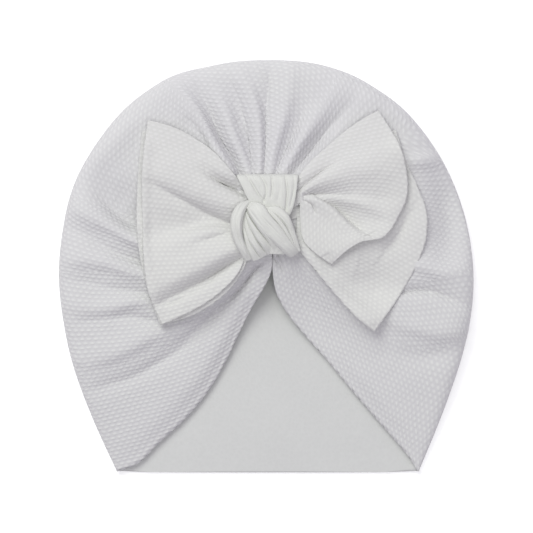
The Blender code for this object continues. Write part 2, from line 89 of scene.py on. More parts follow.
# Soft unevenness of the cloth: height, size and seed of its waves.
CAP_WAVES = ((0.28, 9.0, 3.0), (0.10, 4.0, 7.0))
BOW_WAVES = ((0.30, 8.0, 0.0), (0.12, 3.5, 5.0))
STRIP_SEEDS = {"rear": 21.0, "front": 31.0}
KNOT_SEED, KNOT_SEED_STEP, KNOT_UNEVEN = 5.0, 1.7, 0.16
KNOT_WAVES = ((1.0, 1.3, 3.0), (0.5, 6.0, 4.0))  # height, waves across and waves along
KNOT_CREASES_FROM, KNOT_CREASES_OVER = 20.0, 2.0  # height above which the knot has its creases

# How the rows of bullets are laid out: softness of the blend between places, the weight of a place
# in another part, the share of the fan in which a break's line counts, the hold across a break, the
# weakest and the firmest hold, and when the fit is good enough.
GRAIN_SOFT, GRAIN_OTHER_PART, BREAK_REACH, BREAK_HOLD = 400.0, 1e-9, 0.12, 1e-5
HOLD_LEAST, HOLD_MOST = 0.02, 50
FIT_ROUNDS, FIT_ENOUGH = 700, 1e-9

# The knit's looks, in metres. The higher the scale of a noise, the finer it is.
STRAY, STRAY_SCALE = 0.45, 160.0  # how far the rows of bullets wander, in bullets
BULLET_SLIM, BULLET_EDGE = (3.6, 4.4), (0.18, 1.02)  # fall along and across, from its top to its foot
BULLET_LOW, BULLET_ODD = 0.8, 0.3  # height of the lowest bullets, and how much higher the others are
# How far the bullets' height and the yarn's random grain move the knit's colour from the painted shade
# between the bullets towards its lighter tone, and the yarn's rise and scale.
BULLET_LIGHT, YARN_LIGHT, YARN_RISE, YARN_SCALE = 0.8, 0.25, 0.16, 1600.0
KNIT_LIGHT = 1.03  # how much lighter the knit's colour is painted at its highest; on the bullets' tops this is painted light
PAINTED_SHADE_TINT = (1.0, 0.975, 1.04)  # painted lilac tint of shade, stronger towards the top of the cap, for red, green and blue
# Where along Y, in metres, the painted shade tint grows, and how its strength changes in patches.
PAINTED_TINT_BY_Y, PAINTED_TINT_BY_PATCH, PATCH_SCALE = (-0.02, 0.06, 0.15, 0.9), (0.35, 0.7, 0.3, 1.0), 26.0
INSIDE_LOOPS, INSIDE_SCALE, INSIDE_DARK, INSIDE_RISE = (700.0, 620.0, 700.0), 60.0, 0.95, 0.00006
STRAP_LINES, STRAP_SCALE, STRAP_RISE = (160.0, 1500.0, 1.0), 1300.0, 0.00022
STRAP_DARK, STRAP_LIGHT, STRAP_LINED, STRAP_YARN = 0.90, 1.05, 0.9, 0.35
LAMP_TONE = (0.962, 1.0, 0.915)
VIEW_FROM_HEIGHT = 0.010  # height of the cap that the view's width is measured at, in metres

# Where the rays of the front's cloth run from and to: share of the fan, from the left edge of the V
# round to the right one, x and y at the gather, and x and y at the outline.
RAYS = (
    (0, 1.8, 3.5, -64.8, -89.4), (0.04, -1.7, 7, -75, -66.9), (0.12, -3.5, 15.7, -86.8, -30.2),
    (0.2, -3.9, 23.5, -89.2, 8.1), (0.26, -7.8, 28.7, -81.3, 40.1), (0.31, -11.3, 33.9, -63.5, 66.1),
    (0.35, -11.7, 38.6, -47.4, 78.9), (0.42, -6.1, 39.4, -23.7, 86.9), (0.5, 0.4, 39.6, 0.9, 89.4),
    (0.58, 7.4, 39.4, 25.3, 86.9), (0.65, 13.2, 38.6, 45.1, 78.5), (0.7, 13, 33, 61.1, 66.3),
    (0.76, 10.2, 27.4, 78, 42.4), (0.82, 6.5, 22.2, 87.7, 13.9), (0.9, 5.9, 13.5, 87.7, -26.5),
    (0.96, 5.4, 8.8, 77, -62.2), (1, 2.7, 6.4, 66, -89.4),
)

# The two edges of the V, from its top to the hem.
LEFT_RIM = (
    (2.2, 6.4), (2.2, -1.4), (-0.5, -7.8), (-5.2, -15.7), (-12, -29), (-18.7, -43), (-27.4, -57),
    (-35.2, -66.1), (-47.4, -77.4), (-57, -86.5), (-64.8, -89.4),
)
RIGHT_RIM = (
    (2.7, 6.4), (2.7, -2.2), (4, -10.4), (8.7, -19.6), (16.5, -29.6), (26.5, -40.9), (36.5, -53),
    (46.5, -64.8), (56.1, -75.7), (62.8, -84), (66, -89.4),
)

# The front's shape: y, height of its crest, and height of its outline.
FRONT = (
    (-90, 4.4, 1.9), (-75, 7.8, 2.8), (-55, 11, 3.8), (-35, 13.6, 4.7), (-10, 16, 5.4), (20, 17.6, 5.8),
    (45, 17.4, 5.8), (70, 16.6, 5.6), (90, 15, 5.4),
)

# How the front sinks towards the edges of the V, and how the very edge curls in. Each has its rows
# of y and depth, the width that it eases out over, and the points that stand for the edge.
RIM_DROP = (
    ((-90, 1.2), (-75, 2.8), (-55, 5), (-35, 6.6), (-20, 6), (-8, 3.2), (2, 0.6), (10, 0), (90, 0)),
    28, 41,
)
RIM_CURL = (
    ((-90, 0), (-84, 0.8), (-75, 1.8), (-55, 2.6), (-35, 2.6), (-20, 2.4), (-8, 1.4), (2, 0.3), (90, 0)),
    4.6, 81,
)

# A row is a fold: its name, points (x, y, height, below zero for a crease) and its half widths at
# the start and the end. Of four widths, the first and third are on the left of the way.
# The first table has the cap's ridges as the solids have them, which lift the bow's strips.
REST_RIDGES = (
    ("ridge 1", ((-13, 40, 1.6), (-22.6, 53.5, 1.8), (-36.1, 76.5, 0.8)), (2.2, 4)),
    ("ridge 2", ((-7.2, 40, 1.8), (-11.8, 54.8, 1.6), (-19.1, 70.4, 0.4)), (1.8, 3.4)),
    ("ridge 3", ((-2.2, 40, 1.8), (-4.4, 60.4, 2), (-10.9, 84.4, 0.9)), (1.7, 3.2)),
    ("ridge 4", ((2.2, 40, 1.8), (3.4, 60.4, 2), (6.5, 82, 0.8)), (1.7, 3.6)),
    ("ridge 5", ((8.6, 40, 1.8), (16.9, 54.8, 2), (29, 71.6, 1)), (1.8, 4)),
    ("left ridge 1", ((-57, 16.5, 1.2), (-67, 23.9, 1.6), (-84, 29.1, 0.8)), (4, 5)),
    ("left lip", ((-1.6, -1, 1), (-14, -24, 1), (-36, -54, 0)), (3, 6)),
    ("right ridge 1", ((56.3, 50.6, 1.2), (67, 47.1, 1.4), (78, 43.7, 0.8)), (4, 4)),
    ("right lobe", ((57.3, -15.8, 1.4), (70.3, -18.3, 1.4), (84.1, -22.6, 0.8)), (5, 6)),
)

CAP_FOLDS = (
    ("pleat 1", ((-14.8, 40.4, 1.6), (-23, 54.4, 2.4), (-30.4, 67.8, 2.4), (-39.1, 79.1, 1.2)),
        (3, 1.4, 9, 2)),
    ("valley A", ((-11.7, 40.4, -3.4), (-13.9, 46.1, -4.2), (-19.6, 54.8, -4.4), (-24.8, 67.8, -2.8),
        (-30.4, 79.1, -0.8)), (1.8, 1.8, 3, 3.4)),
    ("pleat 2", ((-7, 40.4, 1.2), (-9.6, 46.1, 1.6), (-13.5, 54.8, 1.8), (-17.8, 67, 1.4),
        (-20.9, 73.9, 0.6)), (2.4, 1.4, 3.4, 3)),
    ("valley B", ((-6.1, 40.4, -2), (-6.7, 46.1, -2.4), (-7.6, 54.8, -3.4), (-10, 65.7, -2.8),
        (-13, 75.7, -1.2)), (2.6, 1.2, 6.4, 1.6)),
    ("pleat 3", ((-3, 40.9, 1.2), (-2.8, 54.8, 1.8), (-4.3, 68.7, 1.8), (-8.3, 79.1, 1.2),
        (-14.8, 87.8, 0.8)), (1.6, 1.2, 3.4, 2.4)),
    ("valley C", ((-1.1, 40.4, -1), (-0.9, 46.1, -1.2), (-0.4, 54.8, -1.8), (0, 67.8, -2.2),
        (1.3, 79.1, -1.8), (1.7, 88.7, -0.8)), (1.4, 1.2, 4.4, 1.8)),
    ("pleat 4", ((1.7, 40.9, 1.2), (3.5, 50.4, 1.6), (4.8, 55.7, 1.8), (8.3, 67.8, 1.6), (10, 79.1, 1),
        (11.3, 87, 0.5)), (1.6, 4)),
    ("valley D", ((3.9, 40.4, -1.6), (6.5, 46.1, -2.2), (10.9, 54.8, -3), (15.2, 65.2, -1.6),
        (18.3, 73, -0.4)), (3.2, 1, 5.4, 1.8)),
    ("pleat 5", ((7.4, 40.9, 1.2), (10.4, 46.1, 1.6), (15.2, 54.8, 2.2), (20.4, 62.6, 1.8), (27.8, 73, 1),
        (35.7, 82.6, 0.4)), (1.8, 2, 4, 6)),
    ("valley E", ((12.2, 40.9, -2.8), (16.1, 46.1, -3.8), (23, 54.8, -4), (29.6, 62.6, -2.4),
        (37.4, 71.3, -0.6)), (3, 1.4, 5, 4)),
    ("pleat 6", ((16.5, 40.9, 0.6), (22.6, 46.1, 1.2), (31.3, 54.4, 1)), (2, 4)),
    ("pleat 7 soft", ((37.4, 66.5, 0), (43.5, 73, 1), (48.7, 78.3, 0.6)), (5, 6)),
    ("dip by pleat 1", ((-23.5, 46.1, -0.8), (-26.7, 54.8, -1.6), (-32.2, 62.6, -0.8)),
        (2.4, 1.2, 3.4, 2)),
    ("gather swell", ((-30.4, 30.4, 0.8), (-14.8, 35.7, 1.6), (0, 37.4, 1.8), (14.8, 36.5, 1.6),
        (30.4, 33, 0.8)), (20, 6, 20, 6)),
    ("shoulder basin", ((-50.4, 18.3, -4.4), (-58.3, 18.3, -5.2), (-67, 24.3, -4.6), (-75.7, 34.8, -2.2),
        (-82.6, 42.6, -0.2)), (2, 16, 3, 13)),
    ("shoulder ridge", ((-54.8, 64.4, 0.6), (-67, 54.8, 1.5), (-77.4, 41.7, 0.8)), (5, 4, 5, 4)),
    ("left ridge 1", ((-52.2, 8.7, 1.4), (-57, 10.9, 1.8), (-67.8, 17, 1.8), (-78.3, 22.6, 1.6),
        (-87, 28.7, 0.6)), (1.8, 2.4, 3, 4)),
    ("left valley 1", ((-51.3, 1.3, -3.6), (-57, 2.6, -3.2), (-67.8, 7, -2.4), (-78.3, 13.9, -1.6),
        (-88.7, 18.3, -0.8)), (1.4, 4, 3, 4.4)),
    ("left ridge 2", ((-51.3, -4.3, 1), (-57, -3, 1.2), (-67.8, 0.9, 1.8), (-78.3, 2.6, 1.6),
        (-89.6, 3.5, 0.8)), (2.4, 2.6, 3.4, 6)),
    ("left valley 2", ((-49.6, -13, -2.2), (-57, -10.9, -2.2), (-67.8, -9.1, -1.3), (-78.3, -6.5, -1),
        (-88.7, -5.2, -0.5)), (3, 3.4, 3, 3)),
    ("left ridge 3", ((-49.6, -14.8, 1.2), (-57, -15.2, 1.6), (-67.8, -17.8, 1.4), (-78.3, -18.3, 1),
        (-87.8, -16.5, 0.5)), (2, 2, 3.4, 5)),
    ("left valley 3", ((-40.9, -26.1, -0.8), (-51.3, -23, -2), (-57, -21.7, -1.8), (-67.8, -22.2, -0.8),
        (-79.1, -23.5, -0.6)), (3, 2.4, 3, 2.4)),
    ("left ridge 4", ((-39.1, -26.1, 0.8), (-49.6, -30.4, 1.6), (-57, -34.3, 2), (-67, -38.7, 2),
        (-77.4, -41.7, 1)), (2.6, 4, 3, 8)),
    ("long valley", ((-4.3, -0.9, -2.4), (-8.7, -7, -3), (-14.8, -13.9, -3.4), (-21.3, -20.4, -3.6),
        (-28.7, -27.4, -3.6), (-39.6, -37, -3.4), (-50.4, -43.5, -3), (-57, -47.4, -2.6),
        (-67.8, -50.9, -2), (-77.4, -53.5, -1)), (3, 2.2, 4.4, 3)),
    ("long crease", ((-4.8, 0.4, -1.6), (-12.2, -10.4, -2.8), (-21.3, -17.4, -2.8), (-27.4, -23.9, -2.4),
        (-35.7, -30.9, -1.4), (-46.1, -37, -0.6)), (1, 1.3, 1, 1.3)),
    ("left panel ridge", ((-3.9, -7.8, 0.8), (-9.6, -20.9, 1.2), (-20.9, -36.5, 1.6), (-38.3, -54.8, 1.6),
        (-57.4, -70.4, 0.8)), (5, 5, 8, 7)),
    ("left hem groove", ((-3.5, -6.1, -0.4), (-10, -22.6, -0.5), (-21.3, -43.5, -0.5),
        (-37.4, -61.7, -0.5), (-55.7, -80.9, -0.4)), (1, 1.8, 1.2, 2.4)),
    ("apex crease", ((-2.6, 1.3, -1.4), (-5.7, -2.6, -1.6), (-9.6, -7.8, -0.8)), (0.7, 0.9)),
    ("stitch crease", ((2.6, 4.3, -1.6), (4.8, 1.5, -2), (7, -1.3, -1)), (0.7, 0.6)),
    ("right apex ridge", ((5.2, 4.3, 0.4), (9.6, -4.3, 1), (16.5, -14.8, 0.6)), (2.4, 3, 4, 5)),
    ("right hem groove", ((7, -10.4, -0.4), (16.5, -23.5, -0.8), (28.7, -37.4, -0.9), (41.7, -53, -0.8),
        (58.3, -72.2, -0.5)), (2.4, 1, 2.8, 1.2)),
    ("under the bow", ((7.8, -0.9, -2), (15.7, -14.8, -4.8), (25.2, -29.6, -5), (34.8, -40, -2.4),
        (43.5, -49.6, -0.2)), (11, 4, 12, 4.6)),
    ("right shoulder ridge", ((56.5, 46.1, 1), (66.1, 46.1, 2.4), (78.3, 47.4, 1.2)), (2.2, 3.4, 2.6, 4)),
    ("right shoulder soft", ((46.1, 75.7, 0.4), (56.5, 67, 1), (66.1, 57.4, 0.4)), (5, 5, 6, 5)),
    ("right shoulder dip", ((51.3, 67, -0.6), (58.3, 59.1, -1.4), (65.2, 53, -0.8)), (4, 4)),
    ("right basin", ((74.8, 54.8, -0.2), (76.5, 42.6, -3.8), (78.7, 29.6, -8.4), (80.9, 17.4, -8.6),
        (80.4, 7, -5), (79.1, -6.1, -0.2)), (18, 9.4, 18, 9)),
    ("right ridge 2", ((63.5, 0.9, 1.2), (69.6, -0.9, 1.8), (75.7, -2.6, 2), (89.6, -0.9, 1.2)),
        (4, 2.2, 6, 3)),
    ("right valley 1", ((59.1, -11.3, -2.6), (67, -10.9, -3.4), (75.7, -12.6, -3.2), (83.5, -16.5, -2.2),
        (89.6, -19.1, -1.2)), (3, 1.4, 4.8, 1.6)),
    ("right cap lobe", ((56.5, -25.2, 1), (64.8, -27, 1.8), (75.7, -29.1, 2), (87, -27.8, 1.4)),
        (8, 2.6, 9, 3)),
    ("right valley 2", ((54.8, -37.4, -0.8), (63.5, -37.8, -1.6), (75.7, -37.4, -2), (87, -34.3, -1.4)),
        (4, 7, 4, 7)),
    ("right panel soft", ((47.8, -41.7, 0.4), (58.3, -56.5, 1.2), (67, -72.2, 0.4)), (9, 8)),
)

REAR_FOLDS = (
    ("lifted corner", ((18.3, 12.2, 0.4), (34.3, -3.9, 2), (46.1, -23.5, 2.5)), (6, 16)),
    ("long edge ridge", ((13.9, 11.3, 0.6), (22.6, -0.9, 1.4), (33.9, -13, 1.6), (45.2, -24.3, 0.8)),
        (2.4, 1.6, 4, 2)),
    ("rear right rib", ((39.1, 11.3, 0.4), (54.8, 13.9, 1), (67, 19.1, 0.4)), (3, 5)),
    ("right crease", ((28.7, -6.1, -4.2), (36.5, -10.4, -6), (46.1, -10.4, -6.2), (57.4, -13.9, -3)),
        (12, 9, 13, 9)),
    ("right corner", ((37.4, -11.3, 0.4), (43.5, -17.4, 0.2), (47, -25.2, -1.2)), (5, 6)),
    ("right edge lift", ((17.4, 0, 0.6), (24.3, -7.8, 1.8), (30.4, -14.8, 1.8), (37.4, -21.7, 0.6)),
        (5, 3, 5, 3)),
    ("right pocket", ((51.3, 7, -1.4), (57.4, 14.8, -3), (61.7, 23.5, -1.4)), (2.2, 4.6, 2.2, 4.6)),
    ("left rib", ((-13.9, 13.9, 0.4), (-30, 10, 1), (-53.9, 10, 1.2)), (4, 12)),
    ("left lower lift", ((-13, 1.7, 0.2), (-28.7, -10.4, 0.3), (-46.1, -22.6, 0.3)), (5, 6, 8, 10)),
)

FRONT_FOLDS = (
    ("left top roll", ((-12.2, 35.7, 1), (-19.1, 40.9, 1.6), (-26.1, 47, 1)), (2, 4, 3, 5)),
    ("left roll", ((-12.2, 26.5, 1.4), (-20, 28.7, 2.6), (-28.7, 33.5, 3.4), (-39.6, 39.6, 4),
        (-51.3, 46.1, 3.4)), (3, 5, 15, 20)),
    ("left crease 1", ((-8.7, 30.7, -3), (-15.2, 33.7, -4.4), (-21.3, 36.7, -3.4), (-26.1, 39.6, -1)),
        (0.9, 2.4, 0.9, 2.6)),
    ("left line", ((-15.7, 18.7, -2.8), (-25.2, 23, -3.2), (-33, 27.2, -2.6), (-41.7, 32, -1.9),
        (-49.6, 36.1, -0.8)), (3.4, 1.5, 4.4, 1.8)),
    ("left dip", ((-13, 17.4, -1.6), (-19.1, 17.4, -2.2), (-27, 17.8, -2.6), (-37.4, 16.1, -2.8),
        (-50.4, 13.5, -1.8)), (1.2, 2.6, 5, 9)),
    ("left rib 3", ((-13.9, 17, 1), (-22.6, 16.5, 1.6), (-30.4, 14.3, 1.2), (-38.3, 11.3, 0.6)),
        (3, 1.4, 5, 3)),
    ("left crease 3", ((-14.8, 15.2, -1.4), (-22.6, 12.6, -1.6), (-30.4, 10.4, -0.8)),
        (1.4, 1.6, 2.4, 2.2)),
    ("left rib 4", ((-12.2, 8.7, 1.6), (-20, 4.8, 2.4), (-28.7, 0, 2.8), (-39.1, -4.8, 2.8),
        (-50.4, -10.4, 2)), (3, 4, 4.6, 14)),
    ("left crease 4", ((-11.3, 3.5, -2.6), (-19.1, -1.1, -4.4), (-26.1, -5.4, -4), (-35.7, -10.4, -2.8),
        (-47, -16.1, -1.2)), (1.8, 1.8, 2.6, 2.2)),
    ("left flap", ((-10.4, 0.4, 0.4), (-14.8, -6.1, 0.4), (-24.3, -15.2, 0), (-42.6, -24.3, 0.2)),
        (2.2, 1.4, 2.6, 2.2)),
    ("left thin crease", ((-23, -5.7, -0.8), (-31.3, -10.9, -1), (-40.9, -15.7, -0.9),
        (-45.2, -17, -0.3)), (0.6, 0.6)),
    ("left edge curl", ((-51.3, 54.8, 0.6), (-52.6, 28.7, 0.9), (-51.7, 2.6, 0.9), (-46.1, -17.4, 0.5)),
        (2, 2)),
    ("right body", ((17.4, 33.9, 1.4), (34.3, 38.7, 2.4), (46.1, 43.5, 3.2), (58.3, 47.8, 3)),
        (10, 8, 20, 18)),
    ("right roll", ((16.5, 39.1, 0.8), (26.1, 49.6, 0.8), (37.4, 58.3, 0.4)), (2.4, 5, 5, 9)),
    ("right crease 1", ((13.9, 33, -2.4), (19.6, 37.6, -2.8), (25.7, 42.2, -1.6), (30.4, 44.8, -0.4)),
        (1.6, 0.8, 1.8, 1)),
    ("right rib", ((15.7, 33, 1.2), (26.1, 38.3, 1.8), (40.9, 42.6, 1.8), (56.5, 46.1, 0.8)),
        (3, 3, 9, 7)),
    ("pocket", ((16.5, 30.9, -1.8), (21.7, 31.3, -2), (27.8, 31.3, -1.5), (36.5, 30.4, -0.8),
        (47.8, 29.1, -0.4)), (1.2, 1.2, 4, 2)),
    ("right rib 2", ((20, 29.6, 0.4), (29.6, 29.6, 1), (40, 27.4, 1.4), (52.2, 22.6, 0.8)),
        (1.6, 2, 4, 3)),
    ("lobe crease", ((21.7, 29.8, -1.4), (29.3, 25.4, -3.6), (35.4, 19.6, -4), (39.6, 16.1, -2.8),
        (42.2, 14.3, -1)), (4.8, 0.5, 4.9, 0.5)),
    ("right lobe", ((30.4, 7.8, 0.8), (34.8, 10, 1.4), (40, 12.2, 1)), (8, 4, 8, 4)),
    ("right lip", ((32.2, 4.3, 1.2), (40.9, 9.1, 1.8), (49.6, 12.6, 1.6), (57.4, 21.7, 0.6)),
        (5, 4, 5, 4)),
    ("lobe edge", ((17.4, 29.1, 0.4), (23.5, 27.4, 0.7), (28.7, 23.9, 0.8), (33.9, 18.7, 0.8),
        (38.3, 15.2, 0.5)), (1, 3, 1.2, 4)),
    ("lobe line", ((16.1, 28.7, -0.8), (19.6, 26.5, -1.4), (21.1, 23, -0.6)), (0.6, 0.7, 0.7, 0.7)),
)

KNOT_CREASES = (
    ("band 1", ((-8.5, 39.1, -0.8), (-5.7, 34.8, -1.1), (-3.9, 31.7, -1.1), (-1.3, 28.3, -0.8)),
        (0.5, 0.5)),
    ("band 2", ((-2.7, 39.1, -0.9), (-0.3, 34.8, -1.2), (-0.1, 31.7, -1.1), (-1.3, 27.4, -0.8)),
        (0.5, 0.5)),
    ("band 3", ((2.3, 39.1, -0.9), (2.4, 33, -1.1), (2, 30, -0.8)), (0.45, 0.45)),
    ("band 4", ((8.1, 39.1, -0.9), (8.9, 33, -1.2), (8.3, 24.3, -1)), (0.5, 0.5)),
    ("band 5", ((11.8, 38.7, -0.5), (11.7, 33, -0.7), (10.3, 26.1, -0.5)), (0.45, 0.45)),
    ("band 6", ((-5.6, 38.7, -0.3), (-2.9, 34.3, -0.5), (-1.9, 31.3, -0.2)), (0.4, 0.4)),
    ("band 7", ((5.2, 38.7, -0.3), (5.7, 33.9, -0.4), (5, 28.7, -0.3)), (0.6, 0.6)),
    ("diagonal 1", ((-4.3, 24.8, -0.3), (-0.9, 20, -0.6), (3.5, 15.2, -0.5), (7.8, 10, -0.3)),
        (0.5, 0.5)),
    ("diagonal 2", ((-6.1, 23, -0.2), (-3, 18.7, -0.5), (0.9, 14.3, -0.3)), (0.4, 0.4)),
    ("crescent 1", ((-11.3, 25.2, -0.2), (-12.9, 19.1, -0.5), (-11.7, 12.2, -0.4), (-9.1, 6.1, -0.2)),
        (0.5, 0.5)),
)

# Directions of the bullets' length, in degrees from +X: x, y, direction.
CAP_GRAIN = (
    (-63.5, -71.3, 14), (-41.7, -62.6, 16), (-28.7, -49.6, 18), (-15.7, -32.2, 24), (-67.8, -53.9, 10),
    (-50.4, -40.9, 8), (-9.6, -14.8, 32), (-76.5, -32.2, 2), (-59.1, -25.7, 4), (-41.7, -20, 10),
    (-80.9, -14.8, -2), (-63.5, -10.4, 0), (-85.2, 1.7, -8), (-67.8, 4.3, -6), (-80.9, 17.8, -28),
    (-63.5, 18.3, -24), (-80.9, 30.9, -64), (-70, 38.3, -68), (-74.4, 46.1, -74), (-67, 51.3, -88),
    (-60, 64.4, -84), (-49.6, 70.9, -88), (-33, 75.7, -12), (-24.3, 73.9, -4), (-13.5, 76.5, 0),
    (-19.1, 59.1, -4), (-8.3, 50.4, -4), (-7, 80.9, -4), (-0.4, 83, -10), (0.9, 67.8, -12),
    (8.3, 72.2, -34), (14.8, 76.5, -50), (22.6, 79.1, -56), (14.8, 59.1, -56), (33, 73, -84),
    (36.5, 64.4, -90), (27.8, 60.9, -80), (47.4, 74.4, -90), (53.9, 61.3, -100), (62.6, 50.4, -20),
    (67, 37.4, 0), (75.7, 28.7, 0), (82.2, 17.8, -3), (75.7, 7, -10), (80, -2.6, -24), (71.3, 0.9, -12),
    (64.8, -14.8, -44), (77.8, -19.1, -46), (84.4, -27.8, -52), (58.3, -27.8, -60), (14.8, -19.1, -70),
    (27.8, -36.5, -72), (45.2, -49.6, -76), (58.3, -40.9, -72), (67, -67, -80), (53.9, -67, -84),
    (32.2, -53.9, -84), (10.4, -10.4, -80), (71.3, -45.2, -72),
)

REAR_GRAIN = (
    (-22.2, 46.1, -34), (-48.3, 59.1, -20), (-50.4, 28.7, -4), (-50.4, 9.1, 0), (-15.7, 9.1, 18),
    (-35.2, -14.8, 22), (-48.3, -14.8, 10), (27.8, 46.1, 34), (46.1, 65.7, 20), (56.1, 43.9, -4),
    (64.8, 33, -30), (69.1, 22.2, -24), (62.6, 13.5, -22), (49.6, 11.3, -22), (58.3, 1.7, -26),
    (49.6, -1.7, -34), (36.5, 1.7, -38), (25.7, 4.8, -44), (34.3, -8.3, -46), (45.2, -12.6, -44),
    (56.1, -10.4, -38), (46.1, -22.6, -48), (19.1, 13.5, -48),
)

BOW_GRAIN = (
    (-22.2, 46.1, -34), (-35.2, 52.6, -30), (-48.3, 59.1, -20), (-17.8, 38.3, -38), (-28.7, 35.2, -30),
    (-46.1, 41.7, -16), (-50.4, 28.7, -6), (-33, 26.5, -20), (-17.8, 26.5, -30), (-24.3, 17.8, 4),
    (-41.7, 13.5, 2), (-50.4, 9.1, 0), (-15.7, 9.1, 16), (-28.7, 4.8, 14), (-43.9, -1.7, 8),
    (-20, -3.9, 28), (-35.2, -12.6, 20), (-48.3, -10.4, 10), (19.1, 38.3, 40), (27.8, 46.1, 34),
    (40.9, 57, 24), (46.1, 65.7, 20), (27.8, 37.4, 16), (40.9, 43.9, 6), (56.1, 43.9, -4),
    (27.8, 30.4, 4), (43, 30.9, -4), (56.1, 33, -14), (36.5, 23.5, -22), (49.6, 22.2, -24),
    (57.4, 26.5, -30), (34.3, 16.5, -28), (18.3, 22.2, 96), (22.6, 17.8, 94), (27.8, 11.3, 96),
    (34.3, 14.8, 100), (20, 13.5, 94), (27.8, 4.3, 98), (38.7, 11.3, 98),
)

# Lines of deep pleats across which the bullets' direction jumps: the share of the fan that each has
# at the outline, and its points.
CAP_BREAKS = (
    (0.08, ((-1.7, 1.7), (-11.3, -2.6), (-17.4, -13), (-28.7, -26.1), (-42.6, -34.3), (-60, -41.7),
        (-75.7, -46.5), (-87, -50.4))),
    (0.176, ((-3.5, 7), (-28.7, -1.7), (-53, -3.5), (-65.2, -2.6), (-76.5, -2.6), (-91.3, -3.5))),
    (0.245, ((-4.3, 11.3), (-33, 17.4), (-57.4, 22.6), (-70.4, 26.1), (-90.4, 33))),
    (0.345, ((-14.8, 41.7), (-23, 54.4), (-31.3, 67.4), (-40.9, 77.4), (-46.1, 82.6))),
    (0.5, ((-0.7, 39.1), (-0.4, 54.4), (-0.4, 70.4), (-2.6, 82.6), (-3.5, 91.3))),
    (0.61, ((5.2, 39.1), (12.6, 51.7), (20.9, 63), (26.1, 73), (32.2, 86.1))),
    (0.755, ((11.3, 33), (40.9, 41.7), (60, 47.4), (71.3, 46.1), (85.2, 41.7))),
    (0.86, ((7.8, 9.6), (40.9, -4.3), (63.5, -6.5), (73.9, -4.3), (90.4, -0.9))),
    (0.905, ((7.8, 7), (36.5, -19.1), (54.8, -30.4), (64.4, -33.9), (75.7, -33.5), (90.4, -28.7))),
)

# The edge of the right wing's turned-back corner.
LOBE_EDGE = (
    (12.2, 33), (18.7, 30), (24.3, 28.3), (29.1, 25.7), (34.8, 19.6), (40.9, 13.9), (46.1, 8.7),
)

# The bow's wings: top and bottom edge, from the knot outwards, and end, from the top down.
REAR_LEFT = (
    ((-10.8, 33), (-18, 41), (-32, 51.5), (-44, 58.5), (-53.9, 58.5)),
    ((-8, 9), (-8.9, 1.5), (-11.5, -3.9), (-17, -10.9), (-25.2, -17.4), (-34.8, -22.2), (-46, -25.2)),
    ((-53.9, 58.5), (-55.8, 35.2), (-56.1, 20), (-55.2, 7.4), (-51.5, -10), (-46, -25.2)),
)
REAR_RIGHT = (
    ((13.5, 33.5), (22, 42), (33, 51), (45, 57), (56, 59)),
    ((13.2, 21), (13.4, 9.6), (20.7, -0.9), (29, -11.1), (38.3, -21.3), (46.6, -28.3)),
    ((56, 59), (59.3, 48.5), (65, 35.2), (69.1, 23.9), (69, 12), (65, 0.6), (57.8, -12.4), (46.6, -28.3)),
)
FRONT_LEFT = (
    ((-11.4, 36.6), (-17, 43.5), (-24.4, 50.9), (-33, 56.5), (-44.8, 61.7), (-51.3, 63)),
    ((-8.7, 8), (-10, 1.7), (-12.7, -3.5), (-18.3, -9.6), (-26.7, -16.1), (-36, -21.1), (-45.2, -25.2)),
    ((-51.3, 63), (-53.5, 40.9), (-53.5, 20), (-53, 5.2), (-50.9, -11.3), (-45.2, -25.2)),
)
FRONT_RIGHT = (
    ((12.6, 36.8), (17.8, 43.9), (25.4, 51), (33.4, 58), (41.7, 63.8), (48.2, 67.4)),
    ((14.4, 27), (14.6, 20), (16, 11.1), (20.2, 6.4), (28, 0.9)),
    ((48.2, 67.4), (53, 60), (57.8, 50.9), (60.4, 40.9), (60.4, 29.5), (57.6, 23), (50.3, 12.6),
        (40.4, 10.4), (35, 7.2), (28, 0.9)),
)

